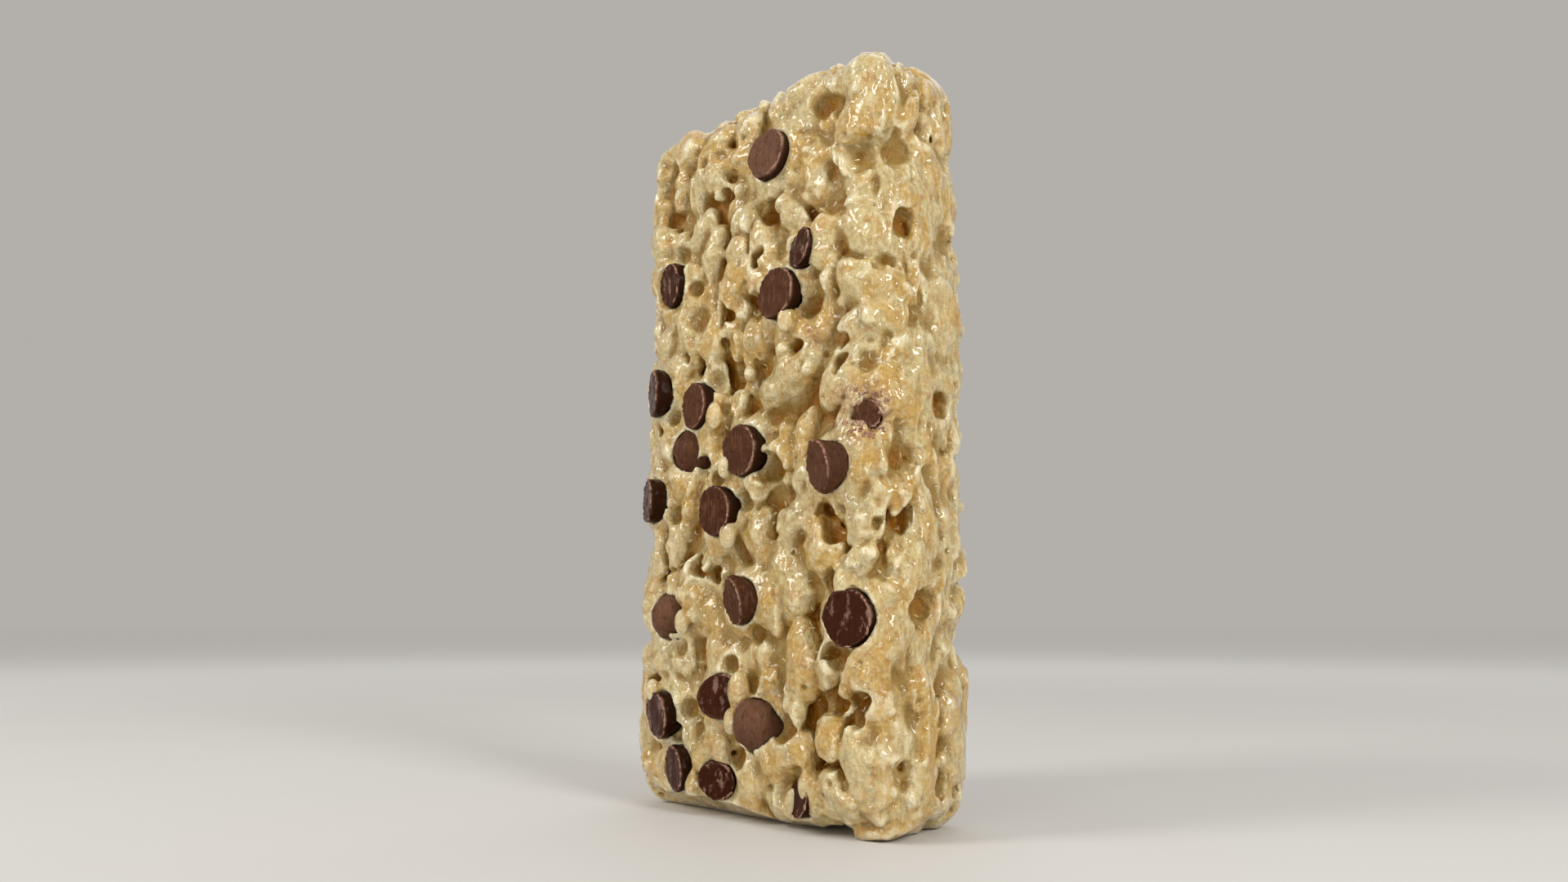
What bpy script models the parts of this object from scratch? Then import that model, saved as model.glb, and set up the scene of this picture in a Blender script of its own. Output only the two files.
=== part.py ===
"""Rice crispy treat: a bar of puffed rice grains stuck together with marshmallow, set with mini
chocolate chips, standing on one end.

The bar is one solid. Its lumpy outline is the union of a rounded block and several hundred puffed
grains lying in its surface, with the open blisters sunk into it. Each chocolate chip is a solid of
its own, which sits in a pocket of the bar.

Frame: +Z up, the origin in the middle of the foot, the broad front face looking along -Y.
Sizes in the tables are in millimetres and become metres through MM.
"""

import math
import random
from collections import namedtuple

import bmesh
import bpy
from mathutils import Matrix, Vector

MM = 0.001

# The block that the grains are pressed into.
BAR_WIDTH = 41.0 * MM
BAR_DEPTH = 16.4 * MM
BAR_HEIGHT = 86.0 * MM
FOOT_CUT = 0.1 * MM
EDGE_RADIUS = 4.6 * MM
CORE_INSET = 2.3 * MM
CORE_BEVEL_STEPS = 3

# Puffed rice.
GRAIN_HALF_LENGTH = (3.3 * MM, 4.5 * MM)
GRAIN_HALF_WIDTH = (2.1 * MM, 2.6 * MM)
GRAIN_FLATNESS = 0.85
GRAIN_LEAN_SPREAD = 35
GRAIN_PROUD = (-0.3 * MM, 0.6 * MM)
GRAIN_GAP = 4.7 * MM
GRAIN_TRIES = 16000
GRAIN_SEED = 11
GRAIN_DETAIL = 3

# Mini chocolate chips.
CHIP_HEIGHT_SHARE = 0.74
CHIP_SIDES = 9
CHIP_PROFILE = ((0.90, 0.0), (1.0, 0.18), (0.90, 0.56), (0.54, 0.88))
POCKET_GAP = 0.35 * MM
POCKET_MOUTH = 3.0 * MM
POCKET_SIDES = 8
POCKET_PROFILE = ((1.0, 0.0), (1.0, 0.5), (0.62, 0.95))
CHIP_CLEARANCE = 7.6 * MM
CHIP_SEED = 5

# Surface mesh of the bar.
VOXEL = 0.6 * MM
SOFTEN_STEPS = 3
BAR_FACES = 4800
FOOT_SLAB = 6.0 * MM

RICE_COLOUR = (0.62, 0.45, 0.24, 1.0)
CHOCOLATE_COLOUR = (0.060, 0.022, 0.014, 1.0)

Grain = namedtuple("Grain", "across height half_length half_width lean proud")
Chip = namedtuple("Chip", "across height width turn nod proud out")
Pit = namedtuple("Pit", "face across height radius depth")
Placed = namedtuple("Placed", "matrix half_length half_width")

# The grains that stand out on the front face, from the top down. Lean is the angle of the long
# axis from upright, positive to the right, in degrees.
FRONT_GRAINS = (
    Grain(17.6, 81.7, 2.9, 2.5, 60, 0.9),
    Grain(-6.0, 80.9, 3.8, 2.3, 62, 0.3),
    Grain(-0.9, 81.1, 2.9, 2.1, 20, 0.2),
    Grain(7.6, 79.1, 3.6, 2.0, 78, 0.0),
    Grain(-13.4, 77.5, 4.0, 2.2, 12, 0.1),
    Grain(-9.8, 75.9, 3.7, 2.3, 4, 0.3),
    Grain(-5.7, 75.9, 2.7, 1.8, -14, 0.2),
    Grain(-2.2, 77.6, 2.5, 1.8, -62, 0.1),
    Grain(9.4, 74.7, 4.2, 2.8, -58, 0.3),
    Grain(16.4, 76.9, 4.3, 2.7, 28, 0.5),
    Grain(4.2, 72.0, 2.9, 1.6, 80, 0.3),
    Grain(-13.6, 69.5, 3.8, 2.3, -54, 0.2),
    Grain(-8.2, 69.9, 3.3, 1.8, 34, 0.4),
    Grain(-1.2, 69.7, 3.4, 2.3, 5, 0.4),
    Grain(6.6, 68.5, 3.4, 2.2, -22, 0.3),
    Grain(-6.2, 66.3, 3.9, 1.8, 15, 0.4),
    Grain(-10.2, 62.9, 3.0, 1.8, 12, 0.5),
    Grain(11.4, 61.7, 3.1, 2.2, 12, 0.7),
    Grain(16.6, 63.3, 3.8, 2.5, -10, 0.6),
    Grain(-2.6, 60.5, 4.2, 2.6, 26, 0.4),
    Grain(16.0, 58.1, 3.8, 2.6, -48, 0.7),
    Grain(18.6, 53.6, 3.9, 2.1, 82, 1.0),
    Grain(-15.6, 56.9, 3.4, 2.4, 38, 0.1),
    Grain(1.8, 54.1, 3.7, 2.8, 0, 0.4),
    Grain(9.4, 54.1, 3.7, 2.4, 76, 0.3),
    Grain(-13.2, 51.9, 4.3, 2.5, 14, 0.5),
    Grain(-6.6, 54.7, 3.6, 2.3, -8, 0.2),
    Grain(4.6, 47.9, 4.9, 2.3, 84, 0.5),
    Grain(13.6, 46.5, 3.7, 2.9, 58, 0.9),
    Grain(19.2, 39.3, 3.0, 2.4, 10, 0.8),
    Grain(5.2, 40.9, 3.5, 2.4, 10, 0.5),
    Grain(9.0, 42.1, 2.9, 1.7, 8, 0.5),
    Grain(-12.4, 38.9, 4.0, 2.5, -30, 0.4),
    Grain(1.7, 31.5, 4.5, 3.0, 5, 0.6),
    Grain(7.4, 32.9, 4.0, 2.6, 62, 0.6),
    Grain(11.4, 29.1, 4.2, 2.8, -14, 0.6),
    Grain(16.8, 32.1, 3.8, 2.5, 20, 0.5),
    Grain(-12.8, 31.1, 3.7, 2.4, 30, 0.3),
    Grain(4.1, 21.4, 2.5, 1.8, -10, 0.5),
    Grain(8.0, 17.9, 5.6, 2.6, -6, 0.7),
    Grain(-8.8, 22.3, 3.9, 2.8, -4, 0.5),
    Grain(1.8, 17.7, 3.1, 2.6, 0, 0.3),
    Grain(-15.9, 17.7, 3.4, 2.0, 62, 0.4),
    Grain(-10.6, 16.7, 3.5, 2.6, -20, 0.3),
    Grain(16.2, 15.5, 4.0, 2.7, 30, 0.6),
    Grain(12.4, 10.1, 2.9, 2.4, -30, 0.3),
    Grain(17.4, 7.3, 5.2, 2.8, 2, 0.5),
    Grain(6.2, 7.7, 4.3, 2.9, 76, 0.5),
    Grain(-0.2, 5.5, 3.4, 2.3, -22, 0.3),
    Grain(12.6, 4.4, 3.0, 2.5, 40, 0.3),
    Grain(-14.8, 4.9, 3.0, 2.3, 0, 0.0),
)

# The chips on the front face, from the top down. Across and height place the middle of the flat
# base, and proud says how far it stands out of the face. With its base out a chip shows a flat
# disc, and with its tip out a dome. Turn swings its outer end to the right, nod lifts it.
FRONT_CHIPS = (
    Chip(3.9, 75.9, 6.1, -3, 5, 1.0, "base"),
    Chip(8.9, 63.2, 4.7, -19, 9, 0.6, "base"),
    Chip(-13.7, 63.8, 5.7, -17, -4, 0.5, "base"),
    Chip(5.4, 58.6, 6.0, -4, 3, 1.0, "base"),
    Chip(-16.2, 50.1, 5.8, -29, -2, 0.8, "base"),
    Chip(-8.3, 47.4, 5.6, -12, 0, 1.0, "base"),
    Chip(17.7, 43.0, 4.2, 26, -10, -0.3, "base"),
    Chip(-10.6, 42.2, 5.2, 4, 4, -2.7, "tip"),
    Chip(-0.3, 41.0, 6.0, -6, -2, 1.0, "base"),
    Chip(12.9, 37.7, 5.7, -25, -11, 2.2, "base"),
    Chip(-16.8, 36.5, 5.6, -29, 0, 0.8, "base"),
    Chip(-4.3, 34.3, 5.9, -6, -2, 1.1, "base"),
    Chip(-0.6, 23.8, 5.5, -24, -12, 1.5, "base"),
    Chip(-13.8, 22.3, 5.6, 0, 0, -2.6, "tip"),
    Chip(15.5, 22.0, 6.3, 7, 0, 0.8, "base"),
    Chip(-3.4, 13.4, 5.5, 40, 8, 0.6, "base"),
    Chip(-14.2, 10.7, 5.6, -15, -6, 0.9, "base"),
    Chip(1.3, 10.2, 6.0, 3, 20, -1.8, "tip"),
    Chip(-11.1, 4.9, 5.2, -19, -6, 0.7, "base"),
    Chip(-3.9, 4.2, 4.8, 25, -14, 0.6, "base"),
    Chip(8.0, 3.5, 3.7, -20, 10, 0.0, "base"),
)

# How many more chips lie on each face that isn't the front.
OTHER_CHIPS = (("back", 9), ("left", 2), ("top", 1))
OTHER_CHIP_WIDTH = (5.2, 6.0)
OTHER_CHIP_TURN = 18
OTHER_CHIP_PROUD = (0.4, 0.9)
OTHER_CHIP_SUNK = (-2.8, -2.3)
OTHER_CHIP_TIP_OUT = 0.25
OTHER_CHIP_MARGIN = 6.0

# Open blisters, where a grain or a bubble has broken away.
PITS = (
    Pit("front", 17.0, 72.3, 2.1, 1.7),
    Pit("front", 13.4, 67.5, 1.9, 1.6),
    Pit("front", 11.6, 79.9, 1.8, 1.6),
    Pit("front", 12.9, 31.1, 1.5, 1.3),
    Pit("right", -5.0, 73.1, 2.2, 1.6),
    Pit("right", -4.2, 64.5, 1.6, 1.2),
    Pit("right", 1.4, 44.7, 1.9, 1.3),
    Pit("right", -4.6, 38.9, 2.0, 1.4),
    Pit("right", -2.2, 23.1, 1.8, 1.4),
    Pit("right", 0.6, 5.1, 1.7, 1.2),
)

# Each face's outward direction and its axis across, seen from in front of it.
FACES = {
    "front": (Vector((0, -1, 0)), Vector((1, 0, 0))),
    "right": (Vector((1, 0, 0)), Vector((0, 1, 0))),
    "back": (Vector((0, 1, 0)), Vector((-1, 0, 0))),
    "left": (Vector((-1, 0, 0)), Vector((0, -1, 0))),
    "top": (Vector((0, 0, 1)), Vector((1, 0, 0))),
    "bottom": (Vector((0, 0, -1)), Vector((1, 0, 0))),
}
HALF = Vector((BAR_WIDTH / 2, BAR_DEPTH / 2, BAR_HEIGHT / 2))
MIDDLE = Vector((0, 0, BAR_HEIGHT / 2 - FOOT_CUT))


def clear_scene():
    for obj in list(bpy.data.objects):
        bpy.data.objects.remove(obj)


def material(name, colour, roughness):
    made = bpy.data.materials.new(name)
    made.use_nodes = True
    shader = made.node_tree.nodes["Principled BSDF"]
    shader.inputs["Base Color"].default_value = colour
    shader.inputs["Roughness"].default_value = roughness
    shader.inputs["Metallic"].default_value = 0.0
    return made


def new_object(name, shape, finish=None):
    """An object in the scene from a bmesh, which is used up."""
    mesh = bpy.data.meshes.new(name)
    shape.to_mesh(mesh)
    shape.free()
    obj = bpy.data.objects.new(name, mesh)
    bpy.context.scene.collection.objects.link(obj)
    if finish:
        mesh.materials.append(finish)
    return obj


def hide_helper(obj):
    obj.hide_render = True
    obj.display_type = "WIRE"


def on_block(point):
    """The nearest point of the rounded block's surface, and the way out from there."""
    inner = HALF - Vector((EDGE_RADIUS,) * 3)
    local = point - MIDDLE
    held = Vector(max(-limit, min(limit, value)) for limit, value in zip(inner, local))
    outward = (local - held).normalized()
    return MIDDLE + held + outward * EDGE_RADIUS, outward


def face_point(face, across, up):
    """A point in the plane of a face. Up is a height over the foot, or on an end face a distance
    back from the middle."""
    outward, sideways = FACES[face]
    reach = sum(abs(part) * limit for part, limit in zip(outward, HALF))
    lift = Vector((0, up, 0)) if outward.z else Vector((0, 0, up - MIDDLE.z))
    return MIDDLE + outward * reach + sideways * across + lift


def on_face(face, across, up):
    return on_block(face_point(face, across, up))


def grain_matrix(place, outward, lean, sink):
    """Stands a grain's long axis (its own X) in the surface, leaning this far from upright, with
    its thin axis (its own Z) pointing out."""
    upright = Vector((0, 0, 1)) if abs(outward.z) < 0.8 else Vector((0, 1, 0))
    along = (upright - outward * upright.dot(outward)).normalized()
    along = Matrix.Rotation(-lean, 3, outward) @ along
    beside = outward.cross(along)
    turned = Matrix((along, beside, outward)).transposed().to_4x4()
    return Matrix.Translation(place - outward * sink) @ turned


def front_grains():
    for grain in FRONT_GRAINS:
        place, outward = on_face("front", grain.across * MM, grain.height * MM)
        half_width = grain.half_width * MM
        sink = half_width * GRAIN_FLATNESS - grain.proud * MM
        matrix = grain_matrix(place, outward, math.radians(grain.lean), sink)
        yield Placed(matrix, grain.half_length * MM, half_width)


def random_place(draw):
    """A place picked evenly over the six faces of the block, and its outward direction."""
    sizes = (BAR_WIDTH * BAR_HEIGHT, BAR_DEPTH * BAR_HEIGHT, BAR_WIDTH * BAR_DEPTH)
    shares = {"front": 0, "back": 0, "right": 1, "left": 1, "top": 2, "bottom": 2}
    face = draw.choices(list(shares), weights=[sizes[i] for i in shares.values()])[0]
    outward, _ = FACES[face]
    if outward.z:
        across = draw.uniform(-HALF.x, HALF.x)
        return on_face(face, across, draw.uniform(-HALF.y, HALF.y))
    half_span = HALF.x if outward.y else HALF.y
    across = draw.uniform(-half_span, half_span)
    return on_face(face, across, MIDDLE.z + draw.uniform(-HALF.z, HALF.z))


def filler_grains(taken, draw):
    """Grains dropped at random wherever no other grain is nearer than GRAIN_GAP."""
    centres = [grain.matrix.translation.copy() for grain in taken]
    for _ in range(GRAIN_TRIES):
        place, outward = random_place(draw)
        half_length = draw.uniform(*GRAIN_HALF_LENGTH)
        half_width = draw.uniform(*GRAIN_HALF_WIDTH)
        lean = math.radians(draw.gauss(0, GRAIN_LEAN_SPREAD))
        sink = half_width * GRAIN_FLATNESS - draw.uniform(*GRAIN_PROUD)
        matrix = grain_matrix(place, outward, lean, sink)
        centre = matrix.translation
        if all((centre - other).length > GRAIN_GAP for other in centres):
            centres.append(centre.copy())
            yield Placed(matrix, half_length, half_width)


def add_grain(shape, grain):
    stretch = (grain.half_length, grain.half_width, grain.half_width * GRAIN_FLATNESS)
    matrix = grain.matrix @ Matrix.Diagonal((*stretch, 1))
    bmesh.ops.create_icosphere(shape, subdivisions=GRAIN_DETAIL, radius=1, matrix=matrix)


def add_core(shape):
    """The block inside the grains, with rounded edges."""
    size = 2 * (HALF - Vector((CORE_INSET,) * 3))
    matrix = Matrix.Translation(MIDDLE) @ Matrix.Diagonal((*size, 1))
    made = bmesh.ops.create_cube(shape, size=1, matrix=matrix)
    edges = list({edge for vert in made["verts"] for edge in vert.link_edges})
    offset = EDGE_RADIUS - CORE_INSET / 2
    bmesh.ops.bevel(
        shape, geom=edges, offset=offset, segments=CORE_BEVEL_STEPS, profile=0.5, affect="EDGES"
    )


def grain_mass():
    """All grains and the core in one mesh, which the bar's Remesh modifier fuses."""
    draw = random.Random(GRAIN_SEED)
    shape = bmesh.new()
    add_core(shape)
    grains = list(front_grains())
    grains += filler_grains(grains, draw)
    for grain in grains:
        add_grain(shape, grain)
    return shape


def chip_matrix(chip, face):
    """The chip's own +Z runs from its base to its tip, and its origin is the middle of its base."""
    outward, sideways = FACES[face]
    upright = outward.cross(sideways)
    facing = Matrix.Rotation(math.radians(chip.turn), 3, upright) @ outward
    facing = Matrix.Rotation(math.radians(-chip.nod), 3, sideways) @ facing
    tipward = facing if chip.out == "tip" else -facing
    base = face_point(face, chip.across * MM, chip.height * MM) + outward * chip.proud * MM
    turned = tipward.to_track_quat("Z", "Y").to_matrix().to_4x4()
    return Matrix.Translation(base) @ turned


def front_chip_places():
    return [(chip, chip_matrix(chip, "front")) for chip in FRONT_CHIPS]


def random_chip(face, draw):
    """A chip somewhere on this face, away from its edges."""
    outward, _ = FACES[face]
    margin = OTHER_CHIP_MARGIN
    half_span = (HALF.y if outward.x else HALF.x) / MM - margin
    out = "tip" if draw.random() < OTHER_CHIP_TIP_OUT else "base"
    return Chip(
        draw.uniform(-half_span, half_span),
        0 if outward.z else draw.uniform(margin, BAR_HEIGHT / MM - margin),
        draw.uniform(*OTHER_CHIP_WIDTH),
        draw.uniform(-OTHER_CHIP_TURN, OTHER_CHIP_TURN),
        draw.uniform(-OTHER_CHIP_TURN, OTHER_CHIP_TURN) / 2,
        draw.uniform(*(OTHER_CHIP_SUNK if out == "tip" else OTHER_CHIP_PROUD)),
        out,
    )


def other_chip_places(taken, draw):
    """Chips at random on the other faces, apart from one another and from the front's."""
    centres = [matrix.translation.copy() for _, matrix in taken]
    for face, wanted in OTHER_CHIPS:
        found = 0
        while found < wanted:
            chip = random_chip(face, draw)
            matrix = chip_matrix(chip, face)
            centre = matrix.translation
            if all((centre - other).length > CHIP_CLEARANCE for other in centres):
                centres.append(centre.copy())
                found += 1
                yield chip, matrix


def turned_shape(rings, sides, tip):
    """A closed solid of revolution about +Z, from its rings as (radius, level) and its tip's
    level."""
    shape = bmesh.new()
    turns = [2 * math.pi * step / sides for step in range(sides)]
    circles = []
    for radius, level in rings:
        points = [(radius * math.cos(turn), radius * math.sin(turn), level) for turn in turns]
        circles.append([shape.verts.new(point) for point in points])
    shape.faces.new(reversed(circles[0]))
    for lower, upper in zip(circles, circles[1:]):
        for step in range(sides):
            after = (step + 1) % sides
            shape.faces.new((lower[step], lower[after], upper[after], upper[step]))
    point = shape.verts.new((0, 0, tip))
    for step in range(sides):
        shape.faces.new((circles[-1][step], circles[-1][(step + 1) % sides], point))
    return shape


def chip_size(chip):
    return chip.width / 2 * MM, chip.width * CHIP_HEIGHT_SHARE * MM


def chip_shape(chip):
    """A dome with a flat base, a little narrower at the base than above it."""
    radius, height = chip_size(chip)
    rings = [(radius * wide, height * up) for wide, up in CHIP_PROFILE]
    return turned_shape(rings, CHIP_SIDES, height)


def pocket_shape(chip):
    """The room for a chip. A chip with its base out also clears the way out in front of it."""
    radius, height = chip_size(chip)
    radius += POCKET_GAP
    rings = [(radius * wide, height * up) for wide, up in POCKET_PROFILE]
    mouth = POCKET_MOUTH if chip.out == "base" else POCKET_GAP
    rings[0] = (radius, -mouth)
    return turned_shape(rings, POCKET_SIDES, height + POCKET_GAP)


def add_chip(number, chip, matrix, finish):
    obj = new_object(f"chocolate_chip_{number:02d}", chip_shape(chip), finish)
    obj.data.shade_smooth()
    obj.data.set_sharp_from_angle(angle=math.radians(40))
    obj.matrix_world = matrix
    return obj


def joined_cutter(name, pieces):
    """One hidden cutter from several closed shapes, each with its place."""
    shape = bmesh.new()
    for piece, matrix in pieces:
        bmesh.ops.transform(piece, matrix=matrix, verts=piece.verts)
        mesh = bpy.data.meshes.new("piece")
        piece.to_mesh(mesh)
        piece.free()
        shape.from_mesh(mesh)
        bpy.data.meshes.remove(mesh)
    bmesh.ops.recalc_face_normals(shape, faces=shape.faces)
    cutter = new_object(name, shape)
    hide_helper(cutter)
    return cutter


def pit_cutter():
    pieces = []
    for pit in PITS:
        place, outward = on_face(pit.face, pit.across * MM, pit.height * MM)
        ball = bmesh.new()
        bmesh.ops.create_icosphere(ball, subdivisions=2, radius=pit.radius * MM)
        centre = place + outward * (pit.radius - pit.depth) * MM
        pieces.append((ball, Matrix.Translation(centre)))
    return joined_cutter("pit_cutter", pieces)


def pocket_cutter(chips):
    return joined_cutter("pocket_cutter", [(pocket_shape(chip), at) for chip, at in chips])


def foot_cutter():
    """A slab whose top face, at height 0, planes the bar's foot flat."""
    shape = bmesh.new()
    size = (2 * BAR_WIDTH, 4 * BAR_DEPTH, FOOT_SLAB, 1)
    matrix = Matrix.Translation((0, 0, -FOOT_SLAB / 2)) @ Matrix.Diagonal(size)
    bmesh.ops.create_cube(shape, size=1, matrix=matrix)
    cutter = new_object("foot_cutter", shape)
    hide_helper(cutter)
    return cutter


def cut(obj, cutter):
    """Subtracts a cutter, whose own pieces may overlap."""
    modifier = obj.modifiers.new(cutter.name, "BOOLEAN")
    modifier.operation = "DIFFERENCE"
    modifier.object = cutter
    modifier.solver = "EXACT"
    modifier.use_self = True


def face_count(obj):
    graph = bpy.context.evaluated_depsgraph_get()
    mesh = obj.evaluated_get(graph).to_mesh()
    mesh.calc_loop_triangles()
    return len(mesh.loop_triangles)


def add_bar(chips, finish):
    bar = new_object("rice_bar", grain_mass(), finish)
    fuse = bar.modifiers.new("fuse", "REMESH")
    fuse.mode = "VOXEL"
    fuse.voxel_size = VOXEL
    fuse.use_smooth_shade = True
    soften = bar.modifiers.new("soften", "SMOOTH")
    soften.factor = 0.5
    soften.iterations = SOFTEN_STEPS
    cut(bar, pit_cutter())
    full = face_count(bar)
    thin = bar.modifiers.new("thin", "DECIMATE")
    thin.use_collapse_triangulate = True
    thin.ratio = BAR_FACES / full
    cut(bar, pocket_cutter(chips))
    cut(bar, foot_cutter())
    return bar


def world_points(obj):
    """The evaluated object's vertices, in world space."""
    evaluated = obj.evaluated_get(bpy.context.evaluated_depsgraph_get())
    mesh = evaluated.to_mesh()
    points = [evaluated.matrix_world @ vert.co for vert in mesh.vertices]
    evaluated.to_mesh_clear()
    return points


def centre_on_foot(objects):
    """Moves everything so that the object's box is centred over the origin."""
    bpy.context.view_layer.update()
    points = [point for obj in objects for point in world_points(obj)]
    for axis in (0, 1):
        values = [point[axis] for point in points]
        offset = (min(values) + max(values)) / 2
        for obj in bpy.data.objects:
            obj.location[axis] -= offset


def main():
    clear_scene()
    rice = material("rice", RICE_COLOUR, 0.45)
    chocolate = material("chocolate", CHOCOLATE_COLOUR, 0.35)
    chips = front_chip_places()
    chips += other_chip_places(chips, random.Random(CHIP_SEED))
    shown = [add_chip(number + 1, *chip, chocolate) for number, chip in enumerate(chips)]
    shown.append(add_bar(chips, rice))
    centre_on_foot(shown)


main()
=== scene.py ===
"""Looks of the rice crispy treat: a bar of puffed rice and marshmallow with mini chocolate chips.

The bar is sculpted as a distance field, sampled on a grid of small cubes: negative inside, positive
outside. Puffed grains are blended into it one by one, marshmallow softens the creases between some
of them, and blisters, pores and the chips' beds are cut out of it. The field's zero surface is the
bar's skin. The chips are turned shapes of their own, each on the place and axis of its CAD node.

Sizes and places are in millimetres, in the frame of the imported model, unless a name says otherwise.
"""

import math
import random
from collections import namedtuple

import bmesh
import bpy
import numpy as np
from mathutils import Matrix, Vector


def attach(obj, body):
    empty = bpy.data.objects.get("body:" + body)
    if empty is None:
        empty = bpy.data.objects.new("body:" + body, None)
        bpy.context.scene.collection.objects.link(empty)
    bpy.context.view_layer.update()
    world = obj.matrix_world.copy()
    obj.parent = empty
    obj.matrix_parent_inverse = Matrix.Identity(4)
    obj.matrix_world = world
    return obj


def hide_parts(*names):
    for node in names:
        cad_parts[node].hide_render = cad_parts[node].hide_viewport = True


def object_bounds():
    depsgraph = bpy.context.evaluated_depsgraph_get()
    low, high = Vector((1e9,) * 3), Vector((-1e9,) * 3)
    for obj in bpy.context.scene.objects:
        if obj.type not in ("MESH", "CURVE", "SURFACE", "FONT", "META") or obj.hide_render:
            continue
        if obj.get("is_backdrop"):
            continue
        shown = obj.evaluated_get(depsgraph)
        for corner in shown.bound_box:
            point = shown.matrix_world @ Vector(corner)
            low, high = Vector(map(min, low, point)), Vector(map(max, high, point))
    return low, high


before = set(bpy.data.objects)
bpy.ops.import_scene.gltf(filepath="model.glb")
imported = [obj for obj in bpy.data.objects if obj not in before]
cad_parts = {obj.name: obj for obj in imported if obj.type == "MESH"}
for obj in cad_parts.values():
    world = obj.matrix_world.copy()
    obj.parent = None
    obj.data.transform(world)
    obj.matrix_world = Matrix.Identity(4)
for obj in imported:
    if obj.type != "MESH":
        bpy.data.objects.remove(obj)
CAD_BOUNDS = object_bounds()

import openvdb
from mathutils import Matrix, Vector

MM = 0.001

# The block that the grains are pressed into. The sides are the narrow faces, left and right.
BLOCK_SIZE = Vector((41.0, 16.4, 86.0))
BLOCK_MIDDLE = Vector((0.63, 0.76, 42.9))
HALF = BLOCK_SIZE / 2
EDGE_RADIUS = 4.6
CORE_INSET = 1.7
SIDE_CORE_INSET = 0.6
MOST_PROUD = 0.95
SIDE_MOST_PROUD = 0.6

# How far in from the block's end a place begins to count as side or top, and how far in it counts
# as that alone.
NEAR_END = (3.5, 0.8)

# Where the block bulges or falls short of a plain one: a place, how far round it, and by how much.
SWELLS = (
    ((-20, -6, 85), 9, -1.3), ((-20, -6, 30), 11, 0.5), ((-20, -6, 8), 6, 0.4), ((-20, -6, 0), 4, -1.0),
    ((21, 9, 86), 9, -0.9), ((21, 9, 58), 10, 0.4), ((21, 9, 3), 10, -1.2), ((16, -4, 86), 4, 1.0),
    ((6, -6, 86), 4, -0.6), ((-7.5, -6, 86), 4, 0.6), ((21, 9, 63), 4, 0.6), ((-20, -6, 29), 4, 0.8),
    ((-20, -6, 20), 2.5, -1.0),
)

# How far the rim of the foot is lifted off the floor, and where it is lifted more or less: a place
# in the floor, how far round it, and by how much.
BOTTOM_LIFT = 1.4
BOTTOM_RIM = 4.5
BOTTOM_WAVES = 3.6
BOTTOM_RISES = (((-10, -7.4), 8, 1.1), ((12.5, -7.4), 4, -0.9), ((21, -7), 3, 0.7), ((21, -1), 3.5, 1.0))

# The grid that the field is sampled on.
STEP = 0.25
GRID_LOW = np.array((-23.0, -11.6, -1.0), np.float32)
GRID_HIGH = np.array((24.0, 13.0, 89.5), np.float32)

# How many triangles are left on the faces that the photograph shows, and on the others.
SHOWN_DEPTH = 3.6
SHOWN_TRIANGLES = 120000
OTHER_TRIANGLES = 73000

# Puffed rice. The fillers close the gaps between the listed grains and cover the other faces, the
# under grains show between them, and the small ones fill in. A depth is how far the top of a grain
# lies below the block's surface.
GRAIN_HALF_LENGTH = (3.2, 4.6)
GRAIN_HALF_WIDTH = (1.7, 2.4)
GRAIN_FLATNESS = 0.85
GRAIN_LEAN_SPREAD = 30
GRAIN_SEED = 11
SHAPE_SEED = 23
TONE_SEED = 7
FILLER_TRIES = 16000
FILLER_GAP = 3.9
FILLER_DEPTH = (0.7, -0.5)
UNDER_GRAINS = 300
UNDER_DEPTH = (0.7, 2.4)
SMALL_GRAINS = 260
SMALL_DEPTH = (0.1, 1.1)
SMALL_SIZE = 0.62

# How many lobes a grain has (up to but not including the second number) and how rough it is.
LOBES = (1, 3)
FRONT_LOBES = (0, 3)
SMOOTH_LOBES = (0, 1)
SMOOTH_ROUGHNESS = 0.3

# A grain's own shape: how much it may bend and taper, how far from its middle a lobe may lie, and
# how big the lobe is, both as shares of the grain's half axes.
GRAIN_BEND = 0.09
GRAIN_TAPER = 0.22
LOBE_REACH = (0.62, 0.34, 0.3)
LOBE_SIZE = (0.55, 0.88)
LOBE_AXES = (0.55, 1.0, 1.08)

# Its skin: the size of the wrinkles and the dents along its three axes, how deep they are, and the
# crease that runs along some of the grains.
GRAIN_WRINKLE, GRAIN_WRINKLE_DEPTH = (1.9, 0.62, 0.62), (0.05, 0.15)
GRAIN_DENT, GRAIN_DENT_DEPTH = (1.25, 1.05, 1.05), (0.2, 0.42)
CREASED_SHARE = 0.3
CREASE_WIDTH, CREASE_DEPTH = 0.38, 0.3

Grain = namedtuple("Grain", "across height half_length half_width lean proud smooth", defaults=(False,))
Placed = namedtuple("Placed", "centre turn half_length half_width")
Chip = namedtuple("Chip", "name base axis up radius height base_out")

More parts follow.
